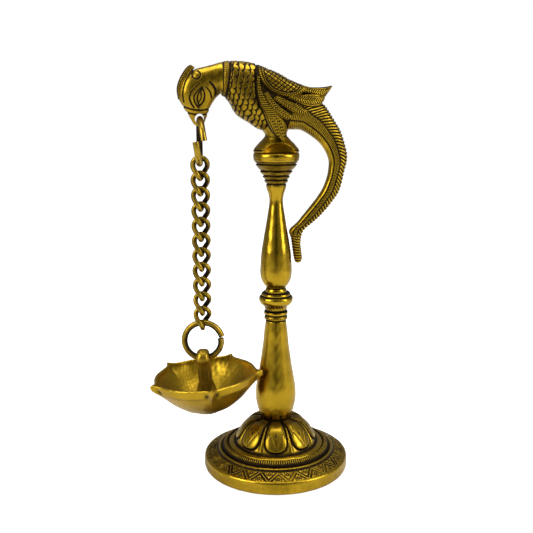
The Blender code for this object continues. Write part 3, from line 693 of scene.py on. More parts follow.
def foot_pieces():
    rim, seat = FOOT_HIGH.x, FOOT_HIGH.z
    foot = settings().foot
    depth = foot.chasing / MM
    sector = 2 * pi / foot.petals
    dome_line = [(7.4, seat)]
    dome_line += from_edge(rim, seat, (23.1, 1.4), (20.8, 3.4), (18.8, 6.0), (17.0, 9.0), (15.9, 11.5))
    dome_knots = lengths(dome_line)
    dome_length = dome_knots[-1]

    def petals(co, relief):
        radius, angle = round_axis(co)
        off = (angle + pi / 2 + sector / 2) % sector - sector / 2
        up = dome_length - nearest(radius, co[:, 2], smooth_line(dome_line, 0.4))[1]
        on_dome = step(co[:, 2], seat - 11.9, 0.3) * step(radius, 7.0, 0.8)
        across = radius * off
        side = [(2.7, 18.5), (4.0, 14), (5.0, 10), (5.65, 6.6), (5.7, 4.2), (4.9, 2.1)]
        side += [(3.0, 0.75), (0, 0.35)]
        outline = smooth_line(side, 0.3)
        distance, _, beyond = nearest(np.abs(across), up, outline)
        inside = beyond < 0
        pillow = np.clip(distance / 2.2, 0, 1) * inside
        relief.raise_by(on_dome * (0.42 * np.sqrt(pillow) - 0.30 * (1 - inside)))
        relief.cut(distance, 0.95, depth, on_dome)
        inner = np.abs(distance - 1.15)
        on_sides = step(up, 7.5, 2.0) * step(np.abs(across), 1.4, 0.6)
        relief.cut(inner, 0.32, 0.14, on_dome * inside * on_sides, 0.75)
        stem = radius * (sector / 2 - np.abs(off))
        flare = 0.45 + 0.9 * np.exp(-up / 1.6)
        relief.raise_by(on_dome * 0.42 * bell(stem, flare) * (1 - inside))
        relief.cut(np.abs(stem - flare - 0.35), 0.45, 0.12, on_dome * (1 - inside) * step(up, 1.0, 1.0), 0.7)
        stroke = nearest(np.abs(across + 0.15 * off), up, [(3.1, 9.6), (0.15, 2.0)])
        beat = 0.55 + 0.45 * np.cos(2 * pi * stroke[1] / 0.62)
        relief.cut(stroke[0], 0.62, 0.30, on_dome * inside * beat, 1.0)
        drop = np.hypot(across / 0.55, (up - 8.7) / 1.1)
        relief.cut(drop, 1.5, 0.25, on_dome * inside, 0.9)
        # Painted shade on the petal tips at the top of the dome, next to the pillar.
        shade = bell(up - 16.5, 2.6) * on_dome * inside
        relief.darken(0.62 * shade)
        # Painted shade in a ring round the foot of the pillar, on the top of the dome.
        relief.darken(0.95 * bell(radius - 7.2, 0.9) * step(co[:, 2], seat - 1.0, 0.6))
        relief.cut(np.abs(radius - (rim - 15.5)), 0.8, 0.12, step(co[:, 2], seat - 12.6, 0.5), 0.95)

    ledge = from_edge(rim, seat, (15.9, 11.5), (15.7, 12.25), (15.1, 12.3), (14.2, 12.25), (13.2, 12.5))
    ledge += from_edge(rim, seat, (12.5, 12.9), (12.3, 13.6))
    hidden = [(rim - 12.5, seat - 16), (0, seat - 16)]
    profile = [(0, seat), (4, seat)] + runs(dome_line, spacing=0.22) + runs(ledge, spacing=0.3) + hidden
    dome = carved(spun(profile, 544), "foot_dome", petals)
    finish_piece("foot_dome", dome, "stand", "foot_brass", ["base"])

    bead_turn = 2 * pi / foot.beads
    bead_line = from_edge(rim, seat, (12.35, 14.4), (12.2, 12.95), (11.7, 12.45), (10.9, 12.65))
    bead_line += from_edge(rim, seat, (10.0, 13.5), (9.3, 14.5), (9.2, 15.6))

    def beads(co, relief):
        radius, angle = round_axis(co)
        off = np.abs((angle + bead_turn / 2) % bead_turn - bead_turn / 2) * radius
        pitch = bead_turn * radius
        top = step(co[:, 2], seat - 14.3, 0.6) * step(radius, rim - 12.0, 0.3)
        top *= 1 - step(radius, rim - 9.6, 0.3)
        relief.cut(pitch / 2 - off, 0.50, 0.30, top, 1.0)
        relief.cut(np.minimum(np.abs(radius - rim + 12.3), np.abs(radius - rim + 9.3)), 0.9, 0.05, 1.0, 1.0)

    profile = runs(bead_line, spacing=0.24) + from_edge(rim, seat, (9.3, 17.2), (12.3, 17.2), (12.35, 14.4))
    ring = carved(spun(profile, foot.beads * 6), "foot_bead_ring", beads)
    finish_piece("foot_bead_ring", ring, "stand", "foot_brass", ["base"])

    inner, outer = rim - 6.5, rim - 1.25
    period = 2 * pi / foot.chevrons
    first_chevron, border_middle = 0.11, 33.5

    def border(co, relief):
        radius, angle = round_axis(co)
        angle = angle + first_chevron
        up_side = step(co[:, 2], 6.3, 0.5)
        share = (radius - inner) / (outer - inner)
        phase = (angle / period) % 1
        zigzag = 1 - np.abs(2 * phase - 1)
        run = period * border_middle / 2
        rise = outer - inner
        slant = run / hypot(run, rise)
        off = (share - zigzag) * rise * slant
        within = step(share, 0.03, 0.06) * (1 - step(share, 0.95, 0.06)) * up_side
        uneven = 0.8 + 0.35 * np.sin(7 * angle + 1) * np.sin(3.3 * angle)
        for place, width, cut in ((-0.72, 0.75, 0.5), (0.72, 0.75, 0.5)):
            relief.cut(np.abs(off - place), width, cut, within * uneven, 1.0)
        for near, away in ((0.0, 0.74), (0.5, 0.26)):
            dx = ((phase - near + 0.5) % 1 - 0.5) * period * radius
            dy = (share - away) * rise
            ring_distance = np.abs(np.hypot(dx, dy) - 0.62)
            relief.cut(ring_distance, 0.46, 0.28, up_side, 0.95)
            fan = np.abs(np.abs(dx) - 1.35) + 0.5 * np.maximum(0, np.abs(dy) - 1.2)
            relief.cut(fan, 0.42, 0.2, within * 0.8, 0.85)
        relief.cut(np.abs(radius - inner + 0.25), 0.7, 0.2, up_side, 0.9)
        relief.cut(np.abs(radius - rim + 9.0), 0.9, 0.1, 1.0, 0.95)
        punch = wave_distance(angle * border_middle, 0.9)
        relief.cut(np.hypot(punch, (radius - outer - 0.1) / 0.8), 0.5, 0.08, up_side, 0.45)

    raised = from_edge(rim, seat, (9.6, 17), (9.3, 15.3), (9.0, 15.1), (8.5, 15.2))
    band = from_edge(rim, seat, (8.5, 15.2), (8.2, 14.95), (7.6, 14.95), (7.0, 15.35), (6.7, 15.9))
    band += from_edge(rim, seat, (6.5, 16.15))
    slope = [(inner, seat - 16.15), (outer, 6.75)]
    edge = [(outer, 6.75), (rim - 0.75, 6.6), (rim - 0.25, 6.1), (rim - 0.02, 5.2)]
    side = [(rim - 0.02, 5.2), (rim - 0.05, 3.4), (rim, 1.7), (rim - 0.3, 0.6), (rim - 0.9, 0.1)]
    side += [(rim - 1.6, 0)]
    profile = [(0, seat - 17)] + runs(raised, band, spacing=0.28) + runs(slope, spacing=0.2)
    profile += runs(edge, spacing=0.25) + runs(side, spacing=0.5) + [(rim - 10, 0), (0, 0)]
    plate = carved(spun(profile, 1100), "foot_border", border)
    finish_piece("foot_border", plate, "stand", "foot_brass", ["base"])


# --- The pillar ---


def turned_piece(name, profile, steps=160, pattern=None):
    mesh = carved(spun(profile, steps), name, pattern, waves=0.8)
    return finish_piece(name + "_turned", mesh, "stand", "polished_brass", [name])


def pillar_pieces():
    foot, top, belly = turned_size("lower_column")
    length = top - foot
    shares = [(0.50, 0.0), (0.56, 0.09), (0.63, 0.23), (0.72, 0.36), (0.82, 0.49), (0.93, 0.61), (0.99, 0.69)]
    shares += [(1.0, 0.74), (0.985, 0.81), (0.92, 0.88), (0.81, 0.95), (0.66, 1.0)]
    line = [(share * belly, top - drop * length) for share, drop in shares]

    def seam(co, relief):
        relief.darken(0.8 * (1 - step(co[:, 2], foot + 0.7, 0.9)))
        relief.darken(0.6 * step(co[:, 2], top - 0.35, 0.5))

    turned_piece("lower_column", [(0, top)] + runs(line, spacing=0.5) + [(0, foot)], pattern=seam)

    foot, top, edge = turned_size("column_collar")
    line = from_edge(edge, top, (0.5, 0), (0.1, 0.25), (0, 0.7), (0.05, 1.5))
    lower = from_edge(edge, top, (0.7, 1.9), (0.75, 2.3))
    last = [(edge - 0.3, top - 2.6), (edge - 0.15, top - 3.1), (edge - 0.2, foot + 0.6), (edge - 0.7, foot)]

    def collar_lines(co, relief):
        for height, width in ((top - 2.05, 0.7), (foot + 0.15, 0.7), (top - 0.02, 0.5)):
            relief.cut(np.abs(co[:, 2] - height), width, 0.1, 1.0, 1.0)
        dents = wave_distance(round_axis(co)[1] * edge, 1.15)
        relief.cut(dents, 0.5, 0.10, bell(co[:, 2] - foot - 1.2, 0.6), 0.6)

    profile = [(0, top)] + runs(line, spacing=0.25) + runs(lower, spacing=0.2)
    profile += runs(last, spacing=0.25) + [(0, foot)]
    turned_piece("column_collar", profile, pattern=collar_lines)

    foot, top, belly = turned_size("middle_knop")
    half = (top - foot) / 2
    middle = foot + half
    first = from_edge(belly, top, (3.6, 0), (3.2, 0.12 * half), (3.1, 0.38 * half))
    rib = from_edge(belly, top, (3.1, 0.38 * half), (2.0, 0.36 * half), (1.3, 0.46 * half))
    rib += from_edge(belly, top, (1.15, 0.60 * half), (1.4, 0.68 * half))
    round_line = from_edge(belly, top, (1.4, 0.68 * half), (0.5, 0.72 * half), (0.05, 0.86 * half))
    round_line += from_edge(belly, middle, (0, 0), (0.1, 0.14 * half), (0.8, 0.36 * half))
    round_line += from_edge(belly, middle, (1.9, 0.54 * half), (2.7, 0.72 * half), (2.9, 0.86 * half))
    round_line += [(belly - 2.9, foot)]

    def knop_lines(co, relief):
        for height, width in ((top - 0.38 * half, 0.5), (top - 0.68 * half, 0.5), (foot + 0.1, 0.9)):
            relief.cut(np.abs(co[:, 2] - height), width, 0.08)
        rough = bell(co[:, 2] - middle + 0.62 * half, 0.28 * half)
        angle = round_axis(co)[1]
        bite = np.sin(3 * co[:, 2] + 2 * np.sin(3 * angle))
        chatter = 0.5 + 0.5 * np.sin(23 * angle + 2 * np.sin(5 * angle)) * bite
        relief.raise_by(-0.22 * rough * chatter)
        relief.darken(0.75 * rough * chatter**2)

    profile = [(0, top)] + runs(first, rib, round_line, spacing=0.25) + [(0, foot)]
    turned_piece("middle_knop", profile, steps=240, pattern=knop_lines)

    foot, top, plate = turned_size("upper_column")
    belly = 7.8 / 11.0 * plate
    rise = top - foot
    neck, neck_z = 0.43 * belly, foot + 0.67 * rise
    cap = from_edge(plate, top, (0.7, 0), (0.25, 0.2), (0, 0.8), (0.05, 2.6), (0.2, 3.6), (0.8, 4.3))
    cone_top = top - 4.3
    grooves = ((0.9, 0.5, 0.9), (4.2, 2.6, 0.8), (6.6, 3.9, 0.75), (8.6, 4.8, 0.7), (10.6, 5.6, 0.6))
    cone = [(plate - 0.8, cone_top)]
    for drop, sink, bite in grooves:
        cone += [(plate - sink - 0.3, cone_top - drop + 0.55), (plate - sink - bite - 0.4, cone_top - drop)]
        cone += [(plate - sink - 0.5, cone_top - drop - 0.55)]
    shaft = [cone[-1], (neck + 1.2, cone_top - 13.2), (neck + 0.35, cone_top - 15.6), (neck, neck_z)]
    shares = [(0.54, 0.54), (0.63, 0.475), (0.73, 0.41), (0.82, 0.345), (0.92, 0.27), (0.96, 0.215)]
    shares += [(0.985, 0.17), (1.0, 0.12), (0.95, 0.07), (0.82, 0.035), (0.60, 0.0)]
    shaft += [(share * belly, foot + height * rise) for share, height in shares]

    def capital_lines_and_shade(co, relief):
        radius, angle = round_axis(co)
        for drop, sink, _ in grooves:
            near = np.hypot(co[:, 2] - cone_top + drop, (radius - plate + sink + 0.4) * 0.5)
            relief.darken(0.9 * bell(near, 0.95))
        # Painted shade on the underside of the plate's rim.
        band = bell(co[:, 2] - cone_top - 0.25, 0.35) * step(radius, plate - 2, 0.5)
        relief.darken(0.95 * band)
        relief.darken(0.9 * (1 - step(co[:, 2], foot + 0.5, 0.6)))
        wobble = np.sin(6 * angle + co[:, 2])
        on_cone = step(co[:, 2], cone_top - 12, 1.0) * (1 - step(co[:, 2], cone_top, 0.5))
        relief.raise_by(0.07 * wobble * on_cone)
        # Painted shade in a band on the cone, under the overhang of the plate.
        relief.darken(0.5 * bell(co[:, 2] - cone_top + 2.3, 1.0))

    profile = [(0, top)] + runs(cap, spacing=0.3) + runs(*zip(cone, cone[1:]), spacing=0.3)
    profile += runs(shaft, spacing=0.45) + [(0, foot)]
    turned_piece("upper_column", profile, steps=176, pattern=capital_lines_and_shade)


# --- The peacock, drawn in its own upright plane: u towards the tail, z up from its foot ---

# Outer end, inner end and half thickness of each section, from the tip of the beak to the tip of the tail.
BODY = [
    ((-38.1, 12.6), (-35.5, 12.6), 1.5),
    ((-39.5, 13.8), (-34.3, 13.8), 2.1),
    ((-41.6, 17.6), (-32.8, 17.6), 2.8),
    ((-44.1, 21.4), (-31.3, 21.4), 4.0),
    ((-46.0, 25.3), (-29.1, 24.9), 5.1),
    ((-46.2, 29.1), (-27.6, 26.4), 5.6),
    ((-44.4, 33.5), (-27.0, 26.9), 5.8),
    ((-39.6, 37.8), (-26.7, 27.1), 5.9),
    ((-33.0, 39.6), (-26.4, 27.1), 6.0),
    ((-25.5, 41.6), (-26.0, 26.7), 6.7),
    ((-20.0, 42.1), (-22.6, 23.3), 7.9),
    ((-13.2, 41.5), (-19.1, 17.6), 9.0),
    ((-6.8, 39.7), (-13.5, 13.9), 9.6),
    ((0.2, 36.3), (-7.3, 10.4), 9.4),
    ((8.9, 32.0), (4.2, 10.4), 8.4),
    ((14.9, 28.6), (10.5, 10.4), 7.0),
    ((20.2, 24.0), (13.2, 9.5), 5.6),
    ((23.8, 21.4), (16.8, 7.3), 4.6),
    ((27.8, 15.5), (20.8, 4.2), 3.9),
    ((31.4, 9.7), (23.8, 0.4), 3.6),
    ((34.0, 2.2), (25.8, -4.3), 3.5),
    ((35.0, -3.4), (25.9, -8.2), 3.5),
    ((33.4, -11.2), (25.0, -13.1), 3.4),
    ((31.4, -19.1), (22.6, -18.9), 3.3),
    ((27.5, -25.0), (18.6, -24.6), 3.2),
    ((22.6, -30.8), (13.8, -30.4), 3.1),
    ((18.2, -34.7), (10.4, -34.4), 3.0),
    ((13.8, -38.5), (6.6, -38.3), 3.0),
    ((12.2, -43.6), (7.5, -42.8), 2.9),
    ((12.6, -48.6), (8.3, -48.4), 2.9),
    ((13.0, -52.4), (8.9, -52.4), 2.5),
    ((12.0, -54.5), (9.8, -54.5), 1.6),
]
NECK_KNOT, RUMP_KNOT = 9, 15

SHIELD = [
    ((-9.6, 39.9), (-10.2, 37.0), 9.2),
    ((-8.4, 39.7), (-9.7, 33.0), 10.0),
    ((-6.0, 38.9), (-7.8, 29.9), 10.6),
    ((-2.8, 37.9), (-4.4, 26.8), 10.9),
    ((0.6, 36.4), (-0.6, 24.9), 10.9),
    ((4.2, 34.5), (3.6, 24.1), 10.7),
    ((7.8, 32.8), (7.6, 24.8), 10.1),
    ((11.0, 31.4), (10.8, 26.8), 9.3),
    ((14.4, 30.2), (13.6, 29.3), 8.3),
]
HATCH_EDGE = [(-8.0, 40.5), (-7.9, 36.0), (-6.0, 32.0), (-2.0, 28.9), (2.7, 27.6), (7.0, 28.1), (10.8, 31.5)]

FEATHERS = {
    "peacock_feather_1": [
        ((-5.6, 28.4), (-8.2, 27.3), 10.4),
        ((-3.6, 25.2), (-6.4, 23.4), 10.8),
        ((-0.3, 21.8), (-3.2, 18.9), 10.8),
        ((3.2, 19.5), (0.8, 15.9), 10.1),
        ((5.2, 18.2), (3.8, 15.3), 9.3),
        ((6.5, 17.0), (5.9, 16.2), 8.5),
    ],
    "peacock_feather_2": [
        ((-0.6, 26.6), (-4.0, 25.0), 10.4),
        ((2.6, 24.9), (0.0, 22.2), 10.6),
        ((6.2, 23.5), (3.6, 19.9), 10.3),
        ((9.4, 21.9), (7.4, 17.9), 9.7),
        ((11.9, 20.6), (10.8, 17.6), 8.9),
        ((13.7, 19.7), (13.2, 18.9), 8.1),
    ],
    "peacock_feather_3": [
        ((6.0, 27.8), (3.6, 24.9), 9.6),
        ((9.6, 27.0), (8.0, 23.2), 9.5),
        ((13.2, 27.4), (12.2, 21.4), 8.8),
        ((17.2, 27.4), (16.6, 21.1), 8.1),
        ((20.4, 26.6), (19.9, 22.1), 6.8),
        ((22.3, 25.7), (21.8, 23.9), 5.2),
    ],
    "peacock_feather_4": [
        ((10.4, 31.4), (10.0, 27.6), 8.8),
        ((14.4, 30.3), (13.8, 27.4), 8.2),
        ((18.0, 30.1), (17.6, 26.1), 7.2),
        ((21.6, 30.1), (21.2, 25.2), 5.9),
        ((24.2, 30.4), (22.7, 25.6), 4.2),
        ((26.6, 30.8), (24.2, 27.2), 2.4),
    ],
}
LEG_FEATHER = [
    ((-9.3, 35.5), (-11.2, 35.0), 9.9),
    ((-8.8, 30.0), (-11.2, 29.6), 10.4),
    ((-7.3, 26.6), (-10.8, 26.0), 10.7),
    ((-5.2, 22.9), (-9.6, 22.0), 10.7),
    ((-2.2, 19.4), (-7.9, 18.6), 10.5),
    ((1.4, 16.0), (-6.4, 14.8), 10.2),
    ((3.4, 12.9), (-5.2, 12.4), 9.9),
    ((3.7, 10.5), (-3.9, 10.1), 9.6),
    ((2.9, 8.3), (-1.8, 7.9), 9.2),
    ((1.6, 5.9), (1.0, 5.7), 8.6),
]
CREST = [
    ((-46.4, 24.6), (-45.0, 24.9), 1.0),
    ((-46.9, 28.8), (-44.9, 28.6), 1.6),
    ((-46.1, 32.6), (-43.6, 31.4), 1.9),
    ((-44.4, 36.0), (-42.0, 34.3), 1.9),
    ((-42.2, 39.0), (-40.3, 36.6), 1.8),
    ((-40.4, 40.3), (-38.8, 38.3), 1.6),
    ((-39.3, 39.9), (-38.3, 38.9), 1.1),
]
EYE_LINES = [
    [(-36.5, 32.2), (-38.8, 30.0), (-40.9, 27.4), (-41.3, 25.2), (-40.5, 22.9), (-39.3, 21.0)],
    [(-35.3, 30.7), (-38.0, 28.3), (-39.3, 26.3), (-38.9, 23.4), (-37.2, 21.0)],
    [(-35.5, 29.7), (-37.4, 27.2), (-37.8, 24.2), (-36.8, 21.7)],
    [(-35.5, 29.7), (-34.6, 27.4), (-34.9, 24.2), (-36.8, 21.7)],
]


def bird_frame():
    return np.array(Matrix.Rotation(BIRD_TURN, 3, "Z"))


def section_rows(sections, at_knots):
    """Ends, half thickness and distance along, for rows at places counted in sections."""
    values = np.array([[*a, *b, half] for a, b, half in sections], float)
    index = np.arange(len(sections), dtype=float)
    made = flow(index, values, at_knots)
    middle = (made[:, :2] + made[:, 2:4]) / 2
    return made[:, :2], made[:, 2:4], made[:, 4], lengths(middle)


def even_knots(sections, first, last, rows):
    """Places between two sections, an even distance apart."""
    fine = np.linspace(first, last, 40 * (last - first) + 1)
    ends = section_rows(sections, fine)
    done = (lengths(ends[0]) + lengths(ends[1])) / 2
    return np.interp(np.linspace(0, done[-1], rows), done, fine)


def bird_loft(name, sections, rows, sides, pattern, squareness=2.2, span=None, holes=()):
    """A closed body through sections of the bird, with a pattern of (place, relief) on both its flanks."""
    first, last = span or (0, len(sections) - 1)
    outer, inner, half, along = section_rows(sections, even_knots(sections, first, last, rows))
    turn = (np.arange(sides) + 0.5) * 2 * pi / sides
    share = np.cos(turn)
    across = np.sign(np.sin(turn)) * (1 - np.abs(share) ** squareness) ** (1 / squareness)
    middle, reach = (outer + inner) / 2, (outer - inner) / 2
    flat = middle[:, None] + reach[:, None] * share[None, :, None]
    places = np.stack([flat[..., 0], half[:, None] * across[None], flat[..., 1]], axis=2)
    where = {
        "u": places[..., 0],
        "z": places[..., 2],
        "along": np.repeat(along[:, None], sides, axis=1),
        "share": np.repeat(share[None], rows, axis=0),
        "width": np.repeat(np.linalg.norm(reach, axis=1)[:, None], sides, axis=1),
        "length": along[-1],
        "flank": np.clip(np.abs(across) * 1.6, 0, 1)[None] * np.ones((rows, 1)),
    }
    relief = Relief(where["u"])
    pattern(where, relief)
    normals = grid_normals(places)
    places = places + normals * (relief.height + unevenness(places))[..., None]
    places, dark = capped(places, np.clip(relief.dark, 0, 1))
    places = places @ bird_frame().T + np.array((0, 0, BIRD_FOOT))
    mesh = draped_grid(places, dark, name)
    if holes:
        mesh = drill(mesh, holes)
    return finish_piece(name, mesh, "stand", "cast_brass", ["peacock"])


def head_pattern(at, relief):
    u, z, flank = at["u"], at["z"], at["flank"]
    for points in EYE_LINES:
        relief.line(u, z, points, 0.62, 0.34, flank)
    relief.line(u, z, [(-36.2, 28.0), (-36.1, 25.7), (-37.0, 23.6)], 0.42, 0.24, flank)
    ball = np.hypot((u + 36.1) / 1.3, (z - 25.6) / 3.4)
    relief.raise_by(0.35 * np.clip(1 - ball, 0, 1) * flank)
    for points, width in (
        ([(-33.8, 30.3), (-32.1, 28.3), (-31.0, 25.4)], 0.6),
        ([(-32.1, 32.6), (-30.3, 30.6), (-29.2, 28.0), (-29.3, 26.8)], 0.95),
    ):
        relief.line(u, z, points, width, 0.36, flank)
    for points in (
        [(-44.6, 21.7), (-40.9, 20.4), (-36.8, 19.8), (-31.2, 20.3)],
        [(-43.2, 18.9), (-39.4, 18.0), (-36.8, 17.7), (-32.0, 18.1)],
    ):
        relief.line(u, z, points, 0.62, 0.34)
    angle = np.arctan2(z - 35.7, u + 38.1)
    curl = np.abs(np.hypot(u + 38.1, z - 35.7) - 1.85)
    relief.cut(curl, 0.62, 0.34, flank * (1 - bell(angle - 1.9, 0.40)))
    relief.raise_by(0.12 * bell(np.hypot(u + 38.1, z - 35.7), 1.2) * flank)
    relief.line(u, z, [(-38.6, 38.2), (-41.6, 35.1), (-43.6, 31.0), (-44.3, 27.0), (-43.9, 23.6)], 0.5, 0.28)
    cheek = np.exp(-(((u + 42.0) / 2.6) ** 2 + ((z - 28.5) / 6.0) ** 2))
    relief.raise_by(0.30 * cheek * flank)
    # Painted shade in the crease at the throat.
    throat = np.exp(-(((u + 28.2) / 1.6) ** 2 + ((z - 28.5) / 3.0) ** 2))
    relief.darken(0.75 * throat)
    relief.darken(0.9 * step(at["along"], at["length"] - 0.35, 0.4))
    beak = np.exp(-(((u + 36.8) / 3.6) ** 2 + ((z - 17.0) / 2.2) ** 2))
    relief.darken(0.25 * beak)


def scale_rows(s, t, pitch, row_pitch, depth):
    """Staggered rows of scales: distance from a round edge, and share of the way to the next."""
    distance, last, following = (np.full(s.shape, far) for far in (9.0, -9e3, 9e3))
    for back in (2, 1, 0, -1):
        row = np.floor(s / row_pitch) - back
        off = (t / pitch + 0.5 * (row % 2)) % 1 - 0.5
        bow = np.sqrt(1 - (1.9 * off) ** 2)
        edge = row * row_pitch + depth * bow
        slope = depth * 1.9**2 * off / (pitch * bow)
        distance = np.minimum(distance, np.abs(s - edge) / np.sqrt(1 + slope**2))
        last = np.where(edge <= s, np.maximum(last, edge), last)
        following = np.where(edge > s, np.minimum(following, edge), following)
    return distance, np.clip((s - last) / (following - last), 0, 1)


def body_pattern(at, relief):
    u, z = at["u"], at["z"]
    scale = settings().bird.scale_width / MM
    band_end = smooth_line([(-22.1, 43.0), (-23.0, 36.0), (-24.6, 25.0)], 0.5)
    off_band, _, side = nearest(u, z, band_end)
    past = off_band * side
    relief.cut(off_band, 0.95, 0.42)
    relief.darken(0.9 * (1 - step(at["along"], 0.35, 0.4)))
    on_band = (1 - step(past, 0.0, 0.3)) * step(at["along"], 0.5, 0.3)
    relief.raise_by(0.20 * on_band)
    relief.cut(wave_distance(at["share"] * at["width"], 0.8), 0.35, 0.14, on_band, 0.6)
    relief.darken(0.38 * on_band)
    wing_line = [(-9.8, 40.5), (-11.4, 33.0), (-10.2, 23.5), (-7.3, 18.3), (-4.4, 11.7), (0, 5)]
    off_wing, _, wing_side = nearest(u, z, smooth_line(wing_line, 0.5))
    before = step(off_wing * wing_side * wing_side[0, 0], -0.4, 0.4)
    scaled = step(past, 0.5, 0.5) * before
    wobble = 0.22 * np.sin(1.1 * u + 0.7 * z) + 0.18 * np.sin(0.8 * u - 1.3 * z + 1)
    across = at["share"] * at["width"] + wobble
    edge, rise = scale_rows(at["along"] + wobble, across, scale, 0.92 * scale, 0.52 * scale)
    relief.raise_by(scaled * 0.20 * rise**2)
    relief.cut(edge, 0.60, 0.20, scaled, 0.95)
    relief.cut(off_wing, 1.0, 0.5, 1.0)
    # Painted shade on the body behind the wing line, under the shoulder and feathers.
    relief.darken(0.9 * (1 - before))


def shield_pattern(at, relief):
    u, z, flank = at["u"], at["z"], at["flank"]
    edge_line = smooth_line(HATCH_EDGE, 0.4)
    off, along, side = nearest(u, z, edge_line)
    signed = off * side
    lattice = settings().bird.lattice / MM
    rib = settings().bird.rib / MM
    inside = step(signed, 0.55, 0.3)
    for angle in (radians(-34), radians(38)):
        across = -sin(angle) * u + cos(angle) * z
        relief.cut(wave_distance(across + 0.4, lattice), 0.42, 0.32, inside, 0.95)
    relief.raise_by(0.10 * inside)
    for place, width in ((0.42, 0.55), (-0.50, 0.42), (-2.75, 0.7)):
        relief.cut(np.abs(signed - place), width, 0.34)
    relief.raise_by(0.22 * bell(signed + 0.05, 0.35))
    band = step(-signed, 0.85, 0.3) * (1 - step(-signed, 2.55, 0.3))
    relief.cut(wave_distance(along, rib * 0.85), 0.32, 0.20, band, 0.8)
    # Painted shade where the long feathers cover the shoulder; its rim is a little darker too.
    relief.darken(0.8 * step(-signed, 2.9, 0.3))
    relief.darken(0.25 * (1 - flank))


def feather_pattern(at, relief):
    share, along = at["share"], at["along"]
    rib = settings().bird.rib / MM
    left = at["length"] - along
    taper = np.clip(left / 2.0, 0.15, 1)
    middle = 1 - step(np.abs(share), 0.52, 0.10)
    slant = along - 0.8 * np.abs(share) * at["width"]
    relief.cut(wave_distance(slant, rib * 1.12), 0.40, 0.34, middle * taper, 1.0)
    relief.raise_by(0.24 * middle * taper)
    for place in (-0.60, 0.60):
        relief.cut(np.abs(share - place) * at["width"], 0.30, 0.20, taper, 0.7)
    # Dark rim of the feather: patina and painted shade in the gaps between feathers.
    relief.darken(1.0 * step(np.abs(share), 0.86, 0.06))


def leg_feather_pattern(at, relief):
    share, along = at["share"], at["along"]
    middle = 1 - step(np.abs(share), 0.66, 0.10)
    low = step(along, at["length"] - 11.5, 2.0)
    wave = wave_distance(along + 1.1 * share * at["width"] + 0.6 * np.sin(2.6 * share * at["width"]), 1.5)
    relief.cut(wave, 0.50, 0.30, middle * low, 0.9)
    relief.cut(wave_distance(along - 0.3 * share * at["width"], 1.1), 0.42, 0.26, middle * (1 - low), 0.85)
    for place in (-0.76, 0.76):
        relief.cut(np.abs(share - place) * at["width"], 0.36, 0.26, 1.0, 0.9)
    # Dark rim of the feather: patina and painted shade in the gaps between feathers.
    relief.darken(1.0 * step(np.abs(share), 0.88, 0.05))


def tail_pattern(at, relief):
    share, along, width = at["share"], at["along"], at["width"]
    barb, rib = settings().bird.barb / MM, settings().bird.rib / MM
    fringe, hem = 0.02, -0.58
    foot = step(along, at["length"] - 14.0, 1.5)
    outer = step(share, fringe + 0.03, 0.06) * (1 - foot)
    inner = 1 - step(share, hem, 0.06)
    middle = (1 - step(share, fringe, 0.06)) * (1 - inner) * (1 - foot)
    slant = along - 1.0 * (share - fringe) * width
    relief.cut(wave_distance(slant, barb * 1.1), 0.62, 0.55, outer, 1.0)
    relief.cut(wave_distance(along, rib * 0.9), 0.33, 0.26, middle, 0.85)
    hatching = wave_distance(along + 0.5 * share * width, rib * 1.2)
    relief.cut(hatching, 0.36, 0.15, inner * (1 - step(along, 22, 6)), 0.6)
    for place, size in ((fringe, 0.62), (hem, 0.55)):
        relief.cut(np.abs(share - place) * width, size, 0.40, 1 - foot, 1.0)
    relief.cut(wave_distance(along, 1.35), 0.5, 0.32, foot, 0.9)
    relief.raise_by(0.25 * middle)


def crest_pattern(at, relief):
    middle = 1 - step(np.abs(at["share"]), 0.70, 0.1)
    relief.cut(wave_distance(at["along"] + 0.35 * at["share"] * at["width"], 0.85), 0.36, 0.26, middle, 0.9)
    relief.cut(np.abs(at["share"] - 0.80) * at["width"], 0.3, 0.16)


def bird_point(u, side, z):
    """A place in the bird's own plane, in the lamp's frame."""
    return Vector(bird_frame() @ np.array((u, side, z))) + Vector((0, 0, BIRD_FOOT))


def head_and_crest():
    across = Vector((-sin(BIRD_TURN), cos(BIRD_TURN), 0))
    hole = rod(2.3, 18, BEAK_HOLE, across, sides=72)
    bird_loft("peacock_head", BODY, 170, 224, head_pattern, span=(0, NECK_KNOT), holes=[hole])
    bird_loft("peacock_crest", CREST, 110, 56, crest_pattern, squareness=3.0)


def body_and_legs():
    bird_loft("peacock_body", BODY, 250, 300, body_pattern, span=(NECK_KNOT, RUMP_KNOT))
    bird_loft("peacock_leg_feather", LEG_FEATHER, 150, 200, leg_feather_pattern, squareness=6.0)
    pedestal()


